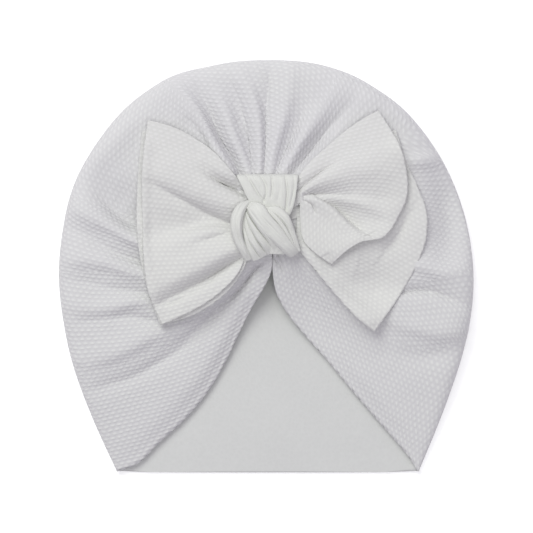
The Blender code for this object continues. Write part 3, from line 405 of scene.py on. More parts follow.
# The bodies of the knot: name, how flat their top is (2 is round), and rows of left x, left y,
# right x, right y, mid-height, rise above it and depth below it.
KNOT_BODIES = (
    ("band", 9, (
        (-9.2, 35.6, 10.2, 35.6, 15.4, 0.8, 0.8), (-11.4, 38.2, 12.6, 38.2, 18.2, 0.8, 0.8),
        (-12.8, 39, 13.6, 39, 21, 0.9, 0.8), (-12.6, 38.3, 13.6, 38.3, 23, 1, 0.8),
        (-10.3, 33.8, 13, 33, 24, 1.2, 0.8), (-8.4, 29.8, 12.3, 28.5, 23.8, 1.2, 0.8),
        (-5.7, 26.1, 10.9, 23.9, 22.8, 1.2, 0.8), (-1.7, 21.7, 8.7, 20, 21.6, 1, 0.8),
    )),
    ("band inside", 3, (
        (-9.8, 36.6, 10.8, 36.6, 16.4, 0.8, 0.8), (-7, 32, 8, 32, 14.4, 0.9, 0.9),
        (-4, 24, 6, 24, 14, 1, 1), (-2, 15, 4.6, 15, 13.9, 1.1, 1.1),
        (-1.2, 10.4, 4, 10.4, 14.9, 1.2, 1.2), (-0.8, 8.8, 4, 8.8, 17.6, 1.3, 1.3),
        (-1.6, 9.4, 4.8, 9.4, 20.6, 1.4, 1.4), (-2.4, 12.5, 5.4, 12.5, 22.6, 1.4, 1.4),
    )),
    ("core", 2.4, (
        (-8.3, 27, -0.9, 27, 22.4, 1.6, 1.4), (-11.3, 22.6, 6.1, 22.6, 22.6, 3, 2),
        (-12.6, 17.4, 10.4, 17.4, 22.6, 3.4, 2), (-11.3, 12.2, 12.2, 12.2, 22.4, 3, 2),
        (-7, 7.8, 12.2, 7.8, 22, 2, 1.4), (-4.3, 5.7, 7.8, 5.2, 21.8, 1, 0.8),
    )),
    ("fan 4", 2.6, (
        (-10.2, 18.3, -9.3, 18.3, 23.4, 1.4, 1), (-10.2, 14.3, -8.4, 15.2, 23.8, 2, 1.2),
        (-9.3, 10, -7.1, 11.1, 23.6, 2.2, 1.4), (-7.6, 5.7, -4.5, 6.6, 22.8, 1.9, 1.4),
        (-5.8, 2.3, -2.4, 3.7, 21.8, 0.9, 0.9),
    )),
    ("fan 3", 2.6, (
        (-9.7, 20.9, -8.7, 21.1, 23.6, 1.6, 1), (-9.3, 16.1, -7.2, 17.2, 24.2, 2.4, 1.2),
        (-7.7, 11.1, -4.8, 12.7, 24, 2.6, 1.4), (-4.8, 6.5, -1.9, 8.4, 23, 2.2, 1.4),
        (-2.6, 3.5, 0.2, 5.6, 21.8, 0.9, 0.9),
    )),
    ("fan 2", 2.6, (
        (-9.3, 23, -8.2, 23.3, 23.8, 1.8, 1), (-8, 18.3, -6, 19.6, 24.6, 2.8, 1.2),
        (-5.5, 13.3, -2.6, 15, 24.4, 3, 1.4), (-2.2, 8.5, 0.7, 10.7, 23.4, 2.5, 1.4),
        (0.3, 5, 3.2, 7.4, 21.8, 1, 0.9),
    )),
    ("fan 1", 2.6, (
        (-8.7, 25.2, -7.7, 25.4, 24, 1.8, 1), (-6.8, 20.9, -5.2, 22.2, 25, 3, 1.2),
        (-3.5, 15.7, -0.6, 17.8, 25, 3.4, 1.4), (0.2, 10.9, 3.7, 13.3, 24, 2.9, 1.4),
        (3, 5.8, 7.2, 8.9, 22, 1.2, 0.9),
    )),
    ("turn inner", 2.8, (
        (-1.6, 25.2, 0, 25, 24, 1.2, 1), (0.9, 22.6, 3.5, 22.8, 24.8, 2.2, 1.2),
        (5, 18.3, 7.4, 18.9, 24.8, 2.8, 1.4), (8.4, 13.5, 10.3, 14.1, 23.8, 2.4, 1.4),
        (10.9, 8.7, 12.5, 9, 22.6, 1.6, 1.2), (11.9, 6.3, 13.9, 6.6, 21.8, 0.8, 0.8),
    )),
    ("turn outer", 2.8, (
        (-0.7, 24.6, 0.7, 25.6, 23.6, 1.4, 1), (3.2, 22.3, 5, 25.8, 24.4, 2.4, 1.2),
        (6.7, 19, 8.9, 23, 24.4, 2.9, 1.4), (9.4, 14.6, 11.6, 17.2, 23.4, 2.6, 1.4),
        (11.3, 9.8, 13.5, 11.3, 22.4, 1.9, 1.2), (13, 6.3, 14.8, 6.8, 21.4, 0.8, 0.8),
    )),
    ("diagonal", 3.4, (
        (-8.4, 25.9, -6.1, 28.1, 23.8, 1, 1), (-7.7, 22.8, -1.5, 26.5, 25, 3, 1.4),
        (-5, 18.3, 1.7, 22.3, 25.6, 3.9, 1.6), (-0.6, 13.7, 5.8, 17.7, 25.2, 3.9, 1.6),
        (4.2, 9, 9.4, 12.8, 24, 3.3, 1.4), (8.3, 5.4, 12.9, 8.1, 22.4, 1.9, 1.2),
        (10.2, 3.9, 13.8, 6.2, 21.4, 0.8, 0.8),
    )),
    ("crescent", 2.8, (
        (-8.3, 28.4, -6.3, 28.3, 23.2, 0.8, 0.8), (-11.9, 27.1, -8.4, 25, 24.2, 2.6, 1.4),
        (-14.7, 23.3, -9.8, 21.3, 24.8, 3.6, 1.6), (-15.6, 17.7, -10.4, 17.2, 24.8, 3.9, 1.6),
        (-14.3, 11.6, -10, 12.8, 24.2, 3.5, 1.6), (-11.6, 6.3, -8.3, 8.1, 23.2, 2.7, 1.4),
        (-8.9, 2.3, -6.3, 3.5, 21.8, 1, 0.9),
    )),
)


def through(rows, at):
    """Points of the smooth curve through the rows, whose first value is the place on the curve."""
    rows = np.array(rows, float)
    place, value = rows[:, 0], rows[:, 1:]
    slope = np.gradient(value, place, axis=0)
    at = np.clip(np.asarray(at, float), place[0], place[-1])
    i = np.clip(np.searchsorted(place, at, side="right") - 1, 0, len(place) - 2)
    gap = (place[i + 1] - place[i])[..., None]
    s = ((at - place[i]) / (place[i + 1] - place[i]))[..., None]
    near = (1 + 2 * s) * (1 - s) ** 2 * value[i] + s * (1 - s) ** 2 * gap * slope[i]
    far = s * s * (3 - 2 * s) * value[i + 1] + s * s * (s - 1) * gap * slope[i + 1]
    return near + far


def along(points, at):
    """Points at these shares of the length of the smooth curve through the points."""
    points = np.array(points, float)
    steps = np.linalg.norm(np.diff(points[:, :2], axis=0), axis=1)
    share = np.concatenate([[0.0], np.cumsum(steps)]) / steps.sum()
    return through(np.column_stack([share, points]), at)


def beside(x, y, line):
    """Distance of each x, y from a line, which side it lies on, and the line's other values there."""
    best = np.full(x.shape, np.inf)
    side = np.zeros(x.shape)
    values = np.zeros((line.shape[1] - 2,) + x.shape)
    for a, b in zip(line[:-1], line[1:]):
        dx, dy = b[0] - a[0], b[1] - a[1]
        s = np.clip(((x - a[0]) * dx + (y - a[1]) * dy) / (dx * dx + dy * dy), 0, 1)
        away = np.hypot(x - a[0] - s * dx, y - a[1] - s * dy)
        closer = away < best
        best = np.where(closer, away, best)
        side = np.where(closer, np.sign(dx * (y - a[1]) - dy * (x - a[0])), side)
        for k in range(len(values)):
            values[k] = np.where(closer, a[2 + k] + s * (b[2 + k] - a[2 + k]), values[k])
    return best, side, values


def fold_heights(x, y, table):
    """How much the folds of the table lift the cloth. Ridges are round, and narrow creases sharper."""
    place = np.linspace(0, 1, FOLD_POINTS)
    lifted = np.zeros_like(x)
    for _, points, widths in table:
        start, end = np.array(widths, float).reshape(2, -1)
        sides = np.broadcast_to(start + (end - start) * place[:, None], (FOLD_POINTS, 2))
        line = np.column_stack([along(points, place), sides])
        away, side, (height, left, right) = beside(x, y, line)
        width = np.where(side > 0, left, right)
        power = np.where((height > 0) | (width > CREASE_WIDE), 2.0, CREASE_SHARP)
        lifted += height * np.exp(-((away / width) ** power))
    return lifted


def ripple(x, y, size, seed):
    """Soft, uneven waves of the cloth between -1 and 1."""
    flat = [
        noise.noise(Vector((a / size, b / size, seed)))
        for a, b in zip(x.ravel().tolist(), y.ravel().tolist())
    ]
    return np.array(flat).reshape(x.shape)


def waves(x, y, table, seed=0.0):
    """The unevenness of the cloth by a table of waves."""
    return sum(height * ripple(x, y, size, own + seed) for height, size, own in table)


def cap_base(x, y, edge_distance):
    """Mid-height of the front without its folds, and how much of its full height it has there."""
    crest, outline = np.moveaxis(through(FRONT, y), -1, 0)
    part = 1 - np.clip(edge_distance / (ROLL_REACH * crest), 0, 1)
    full = (1 - part**ROLL_POWER) ** (1 / ROLL_POWER)
    return outline + (crest - outline) * full, full


def rim_bend(x, y, depths, width, points):
    """How far the front bends down at x, y towards the nearer edge of the V, by a table of depths."""
    place = np.linspace(0, 1, points)
    away = np.minimum(*(beside(x, y, along(rim, place))[0] for rim in (LEFT_RIM, RIGHT_RIM)))
    return through(depths, y)[..., 0] * np.exp(-((away / width) ** 2))


def cap_rays(share, start, outline):
    """Places of the front's cloth: rays from the gather to the outline, which lean to the V's edges."""
    roll = ROLL_REACH * through(FRONT, outline[:, 1])[:, 0] / np.linalg.norm(outline - start, axis=1)
    lean_left = np.clip(1 - share / LEAN, 0, 1) ** 2
    lean_right = np.clip(1 - (1 - share) / LEAN, 0, 1) ** 2
    steps = [(1 - roll) * k / FRONT_ROWS for k in range(FRONT_ROWS + 1)]
    steps += [1 - roll * (1 - math.sin(math.pi / 2 * k / ROLL_ROWS)) for k in range(1, ROLL_ROWS)]
    rows = []
    for q in steps:
        point = start + (outline - start) * q[:, None]
        left = along(LEFT_RIM, q[0]) - point[0]
        right = along(RIGHT_RIM, q[-1]) - point[-1]
        rows.append(point + lean_left[:, None] * left + lean_right[:, None] * right)
    return np.stack(rows, axis=1)


def cap_front(x, y, outline):
    """Mid-height of the front's cloth with its folds."""
    height, full = cap_base(x, y, beside(x, y, outline[::OUTLINE_STEP])[0])
    height = height - full * rim_bend(x, y, *RIM_DROP) - rim_bend(x, y, *RIM_CURL)
    lift = fold_heights(x, y, CAP_FOLDS) + waves(x, y, CAP_WAVES)
    height = height + lift * full * np.clip(height / FOLDS_FULL_AT, FOLDS_LEAST, 1)
    return under_the_bow(x, y, height)


def cap_back(share, outline, outline_z):
    """The cloth that turns under at the outline and comes back to the hem as the back panel."""
    hem_x = HEM_LEFT + (HEM_RIGHT - HEM_LEFT) * share
    run = np.column_stack([hem_x, np.full_like(share, HEM_Y)]) - outline
    run_length = np.linalg.norm(run, axis=1)
    under = np.minimum(UNDER_ROLL, UNDER_ROLL_PART * run_length) / run_length
    rest = CAP_WALL / 2
    rows = []
    for k in range(1, UNDER_ROWS + 1):
        turn = math.pi / 2 * k / UNDER_ROWS
        point = outline + run * (under * (1 - math.cos(turn)))[:, None]
        rows.append(np.column_stack([point, outline_z - (outline_z - rest) * math.sin(turn)]))
    for k in range(1, BACK_ROWS + 1):
        part = under + (1 - under) * (1 - (1 - k / BACK_ROWS) ** BACK_EASE)
        point = outline + run * part[:, None]
        x, y = point.T
        inside = np.clip(1 - np.abs(x) / BACK_SWELL_WIDTH, 0, 1) * np.clip(k / BACK_ROWS * 2, 0, 1)
        swell = BACK_SWELL + BACK_UNEVEN * ripple(x, y * BACK_WAVE_LONG, BACK_WAVE, BACK_WAVE_SEED)
        flat = np.clip((y - HEM_Y) / HEM_FLAT, 0, 1)
        rows.append(np.column_stack([point, rest + inside * (swell * flat)]))
    return np.stack(rows, axis=1)


def cap_cloth():
    """The cap's cloth as a grid of points, from the gather to the hem, and its row at the outline."""
    share = np.linspace(0, 1, CAP_COLUMNS)
    start, outline = np.split(through(RAYS, share), 2, axis=1)
    front = cap_rays(share, start, outline)
    front = np.dstack([front, cap_front(front[..., 0], front[..., 1], outline)])
    outline_z = through(FRONT, outline[:, 1])[:, 1]
    edge = np.column_stack([outline, outline_z])[:, None]
    return np.concatenate([front, edge, cap_back(share, outline, outline_z)], axis=1), front.shape[1]


def cap_regions(points, front_rows):
    """Numbers the parts of the cap between its deep pleats, from the left edge of the V round."""
    share = np.repeat(np.linspace(0, 1, points.shape[0])[:, None], points.shape[1], axis=1)
    region = np.zeros(share.shape, int)
    for at, line in CAP_BREAKS:
        side = beside(points[..., 0], points[..., 1], along(line, np.linspace(0, 1, BREAK_POINTS)))[1]
        side[:, front_rows:] = side[:, front_rows:front_rows + 1]
        region += (share > at + BREAK_REACH) | ((np.abs(share - at) <= BREAK_REACH) & (side < 0))
    return region


def cap_height(x, y):
    """Mid-height of the solid cap's front with its ridges, and without its valleys."""
    outline = through(RAYS, np.linspace(0, 1, OUTLINE_POINTS))[:, 2:]
    return cap_base(x, y, beside(x, y, outline)[0])[0] + fold_heights(x, y, REST_RIDGES)


def inside_wings(x, y, wings):
    """How fully each x, y lies inside the outline of one of the wings, between 0 and 1."""
    deepest = np.zeros_like(x)
    for top, bottom, end in wings:
        line = np.array(top + end[1:] + bottom[::-1][1:] + top[:1])
        away, side, _ = beside(x, y, line)
        spin = np.sign(np.sum(line[:-1, 0] * line[1:, 1] - line[1:, 0] * line[:-1, 1]))
        deepest = np.maximum(deepest, np.where(side == spin, away, 0.0))
    return np.clip(deepest / GIVE_WAY, 0, 1)


def front_sink(x, y):
    """How far the rear strip gives way at x, y under the creases of the front strip."""
    inside = inside_wings(x, y, (FRONT_LEFT, FRONT_RIGHT))
    return inside * np.minimum(0, fold_heights(x, y, FRONT_FOLDS) + SINK_FROM)


def under_the_bow(x, y, height):
    """The height of the cap at x, y where it gives way under the creases of the bow."""
    most = cap_height(x, y) + REST_GAP - GIVE_WAY_GAP + fold_heights(x, y, REAR_FOLDS) + front_sink(x, y)
    return height - inside_wings(x, y, (REAR_LEFT, REAR_RIGHT)) * np.maximum(0, height - most)


def wing(top, bottom, end, shares, across):
    """Places of a wing's cloth, from the knot outwards and from its top edge to its bottom one."""
    upper, lower, tip = along(top, shares), along(bottom, shares), along(end, across)
    root = upper[0] + (lower[0] - upper[0]) * across[:, None]
    s, w = shares[:, None, None], across[None, :, None]
    sides = (1 - w) * upper[:, None] + w * lower[:, None]
    ends = (1 - s) * root[None] + s * tip[None]
    corners = (1 - s) * ((1 - w) * upper[0] + w * lower[0]) + s * ((1 - w) * upper[-1] + w * lower[-1])
    return sides + ends - corners


def strip_cloth(name, left, right, cloth_under, tables):
    """A strip of the bow as a grid of points: left wing, gathered middle, right wing."""
    shares = np.linspace(0, 1, WING_COLUMNS) ** WING_SPREAD
    across = np.linspace(0, 1, WING_ROWS)
    left_wing = wing(*left, shares, across)[::-1]
    right_wing = wing(*right, shares, across)
    part = np.linspace(0, 1, MIDDLE_COLUMNS + 2)[1:-1, None, None]
    pinch = 1 - MIDDLE_PINCH * np.sin(math.pi * part)
    straight = left_wing[-1] * (1 - part) + right_wing[0] * part
    centre = straight.mean(axis=1, keepdims=True)
    place = np.concatenate([left_wing, centre + (straight - centre) * pinch, right_wing])[:, ::-1]
    x, y = place[..., 0], place[..., 1]
    height = cap_height(x, y) + cloth_under + REST_GAP + BOW_WALL / 2
    height += sum(fold_heights(x, y, table) for table in tables)
    if name == "rear":
        height += front_sink(x, y)
    away = np.clip((np.abs(x) - BOW_WAVES_FROM) / BOW_WAVES_OVER, 0, 1)
    height += away * waves(x, y, BOW_WAVES, STRIP_SEEDS[name])
    return np.stack([x, y, height], axis=2)


def strip_regions(points, name):
    """Numbers the parts of a strip: the front one's turned-back corner is a part of its own."""
    x, y = points[..., 0], points[..., 1]
    side = beside(x, y, along(LOBE_EDGE, np.linspace(0, 1, LOBE_POINTS)))[1]
    return ((x > RIGHT_WING_FROM) & (side < 0) & (name == "front")).astype(int)


def unit(vectors, least=1e-9):
    """Vectors of length 1 in the same directions."""
    return vectors / np.maximum(np.linalg.norm(vectors, axis=2, keepdims=True), least)


def grain_field(x, y, region, table):
    """Unit vectors in the plane along the bullets' length, blended between a region's places."""
    total = np.zeros(x.shape + (2,))
    for px, py, degrees in table:
        away = (x - px) ** 2 + (y - py) ** 2
        home = region.flat[away.argmin()]
        weight = np.where(region == home, 1.0, GRAIN_OTHER_PART) / (away**2 + GRAIN_SOFT)
        angle = math.radians(degrees)
        total += weight[..., None] * np.array([math.cos(angle), math.sin(angle)])
    return unit(total, 1e-12)


def both_sides(steps, axis):
    """At each point, the mean of the steps before and after it along an axis."""
    first, last = np.take(steps, [0], axis), np.take(steps, [-1], axis)
    return (np.concatenate([steps, last], axis) + np.concatenate([first, steps], axis)) / 2


def at_points(on_columns, on_rows, near=-1.0):
    """Adds up what the steps between points bring to each: their near ends get it times near."""
    out = np.zeros((on_rows.shape[0], on_columns.shape[1]))
    out[1:] += on_columns
    out[:-1] += near * on_columns
    out[:, 1:] += on_rows
    out[:, :-1] += near * on_rows
    return out


def fit_places(goal_i, goal_j, hold_i, hold_j):
    """The places whose steps come nearest to the goals, the nearer the firmer their hold is."""
    scale = at_points(hold_i, hold_j, near=1.0)
    rest = at_points(hold_i * goal_i, hold_j * goal_j)
    place = np.zeros_like(rest)
    aim = rest / scale
    push, old = aim.copy(), (rest * aim).sum()
    for _ in range(FIT_ROUNDS):
        pull = at_points(hold_i * np.diff(push, axis=0), hold_j * np.diff(push, axis=1))
        pace = old / (push * pull).sum()
        place += pace * push
        rest -= pace * pull
        aim = rest / scale
        new = (rest * aim).sum()
        if new < FIT_ENOUGH:
            break
        push = aim + new / old * push
        old = new
    return place - place.mean()


def lay_grain(points, direction, region):
    """Where each point lies in the flat cloth, so that its rows of bullets follow the direction."""
    normal = unit(np.cross(np.gradient(points, axis=0), np.gradient(points, axis=1)))
    direction = unit(direction - normal * (direction * normal).sum(2, keepdims=True))
    across = np.cross(normal, direction)
    step_i, step_j = np.diff(points, axis=0), np.diff(points, axis=1)
    long_i, long_j = (np.linalg.norm(step, axis=2) + 1e-6 for step in (step_i, step_j))
    wide_i, wide_j = both_sides(long_j, 1), both_sides(long_i, 0)
    hold_i = np.clip((wide_i[1:] + wide_i[:-1]) / 2 / long_i, HOLD_LEAST, HOLD_MOST)
    hold_j = np.clip((wide_j[:, 1:] + wide_j[:, :-1]) / 2 / long_j, HOLD_LEAST, HOLD_MOST)
    hold_i *= np.where(region[1:] == region[:-1], 1.0, BREAK_HOLD)
    hold_j *= np.where(region[:, 1:] == region[:, :-1], 1.0, BREAK_HOLD)
    laid = []
    for axis in (direction, across):
        goal_i = (step_i * (axis[1:] + axis[:-1]) / 2).sum(2)
        goal_j = (step_j * (axis[:, 1:] + axis[:, :-1]) / 2).sum(2)
        laid.append(fit_places(goal_i, goal_j, hold_i, hold_j))
    return np.stack(laid, axis=2), np.stack([direction, across], axis=3)


def lay_on_grain(points, table, region, outline_row=None):
    """Lays a sheet's grain by a table of places. It jumps where one region meets the next."""
    last = points.shape[1] if outline_row is None else outline_row
    x, y = points[:, :last, 0], points[:, :last, 1]
    field = np.zeros(points.shape)
    field[:, :last, :2] = grain_field(x, y, region[:, :last], table)
    if outline_row is not None:
        # Past the outline the cloth turns under, so its direction is mirrored in the outline.
        edge = np.gradient(points[:, outline_row, :2], axis=0)
        edge /= np.linalg.norm(edge, axis=1, keepdims=True)
        out = np.stack([-edge[:, 1], edge[:, 0]], axis=1)
        first = field[:, last - 1, :2]
        a, b = (first * edge).sum(1), (first * out).sum(1)
        field[:, last:, :2] = (a[:, None] * edge - b[:, None] * out)[:, None]
    return lay_grain(points, field, region)


def bend_grid(work, points):
    """Adds a grid of these points to the mesh. Gives each vertex's column and row."""
    columns, rows = points.shape[:2]
    made = bmesh.ops.create_grid(work, x_segments=columns - 1, y_segments=rows - 1, size=1.0)["verts"]
    spots = {}
    for v in made:
        spots[v] = (round((v.co.x + 1) / 2 * (columns - 1)), round((v.co.y + 1) / 2 * (rows - 1)))
        v.co = points[spots[v]] * MM
    return spots


def made_object(name, work):
    """An object of the finished mesh, in the scene."""
    mesh = bpy.data.meshes.new(name)
    work.to_mesh(mesh)
    work.free()
    made = bpy.data.objects.new(name, mesh)
    bpy.context.scene.collection.objects.link(made)
    return made


def grid_sheet(name, points, region, laid, axes, thickness):
    """A sheet of these points, with its thickness and the flat cloth's places as its UV map."""
    work = bmesh.new()
    layer = work.loops.layers.uv.new("grain")
    spots = bend_grid(work, points)
    for face in work.faces:
        corners = [spots[loop.vert] for loop in face.loops]
        first = min(corners)
        for loop, corner in zip(face.loops, corners):
            place = laid[corner]
            if region[corner] != region[first]:
                place = laid[first] + (points[corner] - points[first]) @ axes[first]
            loop[layer].uv = place * MM
        face.smooth = True
    made = made_object(name, work)
    solid = made.modifiers.new("thickness", "SOLIDIFY")
    solid.thickness = thickness
    solid.offset = 0
    solid.use_quality_normals = True
    solid.material_offset = 1  # the wrong side of the knit
    return made


def knot_body(work, layer, power, rows, seed):
    """Adds one body of the knot to the mesh: a soft band between two borders, with the creases in it."""
    rows = np.array(rows, float)
    middle = np.column_stack([(rows[:, :2] + rows[:, 2:4]) / 2, rows[:, 4]])
    steps = np.linalg.norm(np.diff(middle, axis=0), axis=1)
    share = np.concatenate([[0.0], np.cumsum(steps)]) / steps.sum()
    place = np.linspace(0, 1, KNOT_ROWS)
    values = through(np.column_stack([share, rows]), place)
    path = np.column_stack([(values[:, :2] + values[:, 2:4]) / 2, values[:, 4]])
    side = np.column_stack([(values[:, 2:4] - values[:, :2]) / 2, np.zeros(KNOT_ROWS)])
    up = np.cross(np.gradient(path, axis=0), side)
    up /= np.linalg.norm(up, axis=1, keepdims=True)
    half_width = np.linalg.norm(side, axis=1)
    columns = int(np.clip(KNOT_COLUMNS_A_MM * half_width.max(), *KNOT_COLUMNS))
    across = np.sin(np.linspace(-1, 1, columns) * math.pi / 2)
    hump = (1 - np.abs(across) ** power) ** (1 / power)
    across = np.concatenate([across, across[-2::-1]])
    hump = np.concatenate([hump, -hump[-2::-1]])
    uneven = np.array([
        [sum(high * noise.noise(Vector((a * u, b * v, seed))) for high, u, v in KNOT_WAVES)
         for a in across.tolist()]
        for b in place.tolist()
    ])
    high = np.where(hump > 0, values[:, 5, None], values[:, 6, None]) * hump * (1 + KNOT_UNEVEN * uneven)
    points = path[:, None] + side[:, None] * across[:, None] + up[:, None] * high[..., None]
    showing = np.clip((points[..., 2] - KNOT_CREASES_FROM) / KNOT_CREASES_OVER, 0, 1)
    showing = np.clip(hump, 0, 1) * showing
    points[..., 2] += showing * fold_heights(points[..., 0], points[..., 1], KNOT_CREASES)
    spots = bend_grid(work, points)
    around = 4 * half_width.mean()
    for face in {face for v in spots for face in v.link_faces}:
        for loop in face.loops:
            i, j = spots[loop.vert]
            loop[layer].uv = (place[i] * steps.sum() * MM, j / (len(across) - 1) * around * MM)
        face.smooth = True
    bmesh.ops.remove_doubles(work, verts=list(spots), dist=1e-7)
    bmesh.ops.holes_fill(work, edges=[e for e in work.edges if e.is_boundary], sides=0)


def shade(tone, *factors):
    """A tone times one factor, or times its own for red, green and blue."""
    factors = factors * 3 if len(factors) == 1 else factors
    return tuple(min(1.0, t * f) for t, f in zip(tone, factors)) + (1.0,)


class Nodes:
    """Short ways to add nodes to a material and link them."""

    def __init__(self, material):
        self.tree = material.node_tree
        self.shader = self.tree.nodes["Principled BSDF"]

    def put(self, node, inputs):
        """Gives inputs of a node their numbers, or links them to other nodes' outputs."""
        for key, value in inputs.items():
            if isinstance(value, bpy.types.NodeSocket):
                self.tree.links.new(value, node.inputs[key])
            else:
                node.inputs[key].default_value = value

    def add(self, kind, inputs, **settings):
        """A node's outputs, after its settings and inputs are set."""
        node = self.tree.nodes.new(kind)
        for key, value in settings.items():
            setattr(node, key, value)
        self.put(node, inputs)
        return node.outputs

    def math(self, operation, a, b=0.0):
        """The output of one sum."""
        return self.add("ShaderNodeMath", {0: a, 1: b}, operation=operation)[0]

    def both(self, a, a_part, b, b_part):
        """Two values, each times its part, added up."""
        return self.math("ADD", self.math("MULTIPLY", a, a_part), self.math("MULTIPLY", b, b_part))

    def vector(self, operation, inputs):
        """The output of one vector sum."""
        return self.add("ShaderNodeVectorMath", inputs, operation=operation)[0]

    def stretch(self, where, scale):
        """A place scaled in x, y and z."""
        return self.add("ShaderNodeMapping", {"Vector": where, "Scale": scale})[0]

    def cloud(self, where, scale, detail, output="Fac"):
        """Noise at a place."""
        inputs = {"Vector": where, "Scale": scale, "Detail": detail}
        return self.add("ShaderNodeTexNoise", inputs)[output]

    def ramp(self, value, *limits, **settings):
        """A value between the first two limits, mapped to between the next two."""
        return self.add("ShaderNodeMapRange", dict(enumerate((value, *limits))), **settings)[0]

    def mix(self, share, low, high):
        """The output of two colours mixed."""
        return self.add("ShaderNodeMix", {0: share, 6: low, 7: high}, data_type="RGBA")[2]

    def dress(self, colour, height, rise):
        """Gives the cloth its colour and its relief."""
        bump = self.add("ShaderNodeBump", {"Height": height, "Distance": rise, "Strength": 1.0})[0]
        self.put(self.shader, {"Base Color": colour, "Normal": bump})


def cloth_material(name, tone):
    """A matt cloth shader of one tone, and its nodes."""
    made = bpy.data.materials.new(name)
    made.use_nodes = True
    made.diffuse_color = tone
    nodes = Nodes(made)
    nodes.put(nodes.shader, {
        "Base Color": tone, "Roughness": 0.9, "Specular IOR Level": 0.2,
        "Sheen Weight": 0.08, "Sheen Roughness": 0.5,
    })
    return made, nodes


def bullet_knit(name, sizes, tone, size, show):
    """The right side of the knit: staggered rows of raised bullets, of a size, which show so much, with
    painted shade between them and a painted lilac shade tint towards the top of the cap.
    """
    made, nodes = cloth_material(name, tone)
    uv = nodes.add("ShaderNodeUVMap", {}, uv_map="grain")["UV"]
    spot = nodes.add("ShaderNodeTexCoord", {})["Object"]
    stray = nodes.vector("SUBTRACT", {0: nodes.cloud(spot, STRAY_SCALE, 2.0, "Color"), 1: (0.5, 0.5, 0.5)})
    stray = nodes.vector("SCALE", {0: stray, 3: STRAY})
    per_cell = (1 / (sizes.bullet_length * size), 1 / (sizes.bullet_width * size), 1.0)
    cells = nodes.vector("ADD", {0: nodes.stretch(uv, per_cell), 1: stray})
    part = nodes.add("ShaderNodeSeparateXYZ", {0: cells})
    u, v = part["X"], part["Y"]
    row = nodes.math("FLOOR", v)
    u = nodes.math("ADD", u, nodes.math("MULTIPLY", nodes.math("FLOORED_MODULO", row, 2.0), 0.5))
    du = nodes.math("SUBTRACT", nodes.math("FRACT", u), 0.5)
    dv = nodes.math("SUBTRACT", nodes.math("FRACT", v), 0.5)
    along_bullet, across_bullet = nodes.math("MULTIPLY", du, du), nodes.math("MULTIPLY", dv, dv)
    away = nodes.math("SQRT", nodes.both(along_bullet, BULLET_SLIM[0], across_bullet, BULLET_SLIM[1]))
    which = nodes.add("ShaderNodeCombineXYZ", {0: nodes.math("FLOOR", u), 1: row})[0]
    odd = nodes.add("ShaderNodeTexWhiteNoise", {"Vector": which}, noise_dimensions="2D")["Value"]
    bullet = nodes.ramp(away, *BULLET_EDGE, 1.0, 0.0, interpolation_type="SMOOTHSTEP")
    top = nodes.math("ADD", nodes.math("MULTIPLY", odd, BULLET_ODD), BULLET_LOW)
    high = nodes.math("MULTIPLY", bullet, top)
    yarn = nodes.cloud(spot, YARN_SCALE, 3.0)
    # Painted shade and light: the colour is darker and lilac in the gaps between the bullets, where shade
    # falls, and lighter on the bullets' tops.
    level = nodes.both(high, BULLET_LIGHT, yarn, YARN_LIGHT)
    gap = shade(tone, *(1 - show * (1 - g) for g in sizes.painted_gap_shade))
    # Painted shade: a lilac tint that stands for the cool colour of shade, stronger towards the top of the
    # cap and in patches.
    height = nodes.add("ShaderNodeSeparateXYZ", {0: spot})["Y"]
    cloudy = nodes.ramp(nodes.cloud(spot, PATCH_SCALE, 2.0), *PAINTED_TINT_BY_PATCH)
    painted_tint_share = nodes.math("MULTIPLY", nodes.ramp(height, *PAINTED_TINT_BY_Y), cloudy)
    warm_knit = nodes.mix(level, gap, shade(tone, KNIT_LIGHT))
    knit = nodes.mix(painted_tint_share, warm_knit, nodes.mix(level, gap, shade(tone, *PAINTED_SHADE_TINT)))
    rise = nodes.math("ADD", high, nodes.math("MULTIPLY", yarn, YARN_RISE))
    nodes.dress(knit, rise, sizes.bullet_rise * show)
    return made


def wrong_side(name, tone):
    """The inside of the cap: plain flat knit with a faint grain of fine columns."""
    made, nodes = cloth_material(name, tone)
    spot = nodes.add("ShaderNodeTexCoord", {})["Object"]
    fine = nodes.stretch(spot, INSIDE_LOOPS)
    loops = nodes.add("ShaderNodeTexVoronoi", {"Vector": fine, "Scale": 1.0})["Distance"]
    share = nodes.both(loops, 0.5, nodes.cloud(spot, INSIDE_SCALE, 3.0), 0.5)
    knit = nodes.mix(share, shade(tone, INSIDE_DARK), shade(tone, KNIT_LIGHT))
    nodes.dress(knit, loops, INSIDE_RISE)
    return made


def strap_knit(name, tone):
    """The tied strap: the same knit pulled long, so that it shows fine lines along its length."""
    made, nodes = cloth_material(name, tone)
    uv = nodes.add("ShaderNodeUVMap", {}, uv_map="grain")["UV"]
    spot = nodes.add("ShaderNodeTexCoord", {})["Object"]
    lines = nodes.cloud(nodes.stretch(uv, STRAP_LINES), 1.0, 2.0)
    share = nodes.both(lines, STRAP_LINED, nodes.cloud(spot, STRAP_SCALE, 3.0), STRAP_YARN)
    knit = nodes.mix(share, shade(tone, STRAP_DARK), shade(tone, STRAP_LIGHT))
    nodes.dress(knit, share, STRAP_RISE)
    return made


def finish_piece(piece, materials, node_replaced):
    """Puts a piece on its body, in place of its solid."""
    for material in materials:
        piece.data.materials.append(material)
    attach(piece, "root")
    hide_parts(node_replaced)


def soft_light(name, place, size, power):
    """A square soft light that shines at the cap."""
    lamp = bpy.data.lights.new(name, "AREA")
    lamp.shape = "SQUARE"
    lamp.size = size
    lamp.energy = power
    lamp.color = LAMP_TONE
    made = bpy.data.objects.new(name, lamp)
    made.location = place
    made.rotation_euler = (-Vector(place)).to_track_quat("-Z", "Y").to_euler()
    bpy.context.scene.collection.objects.link(made)


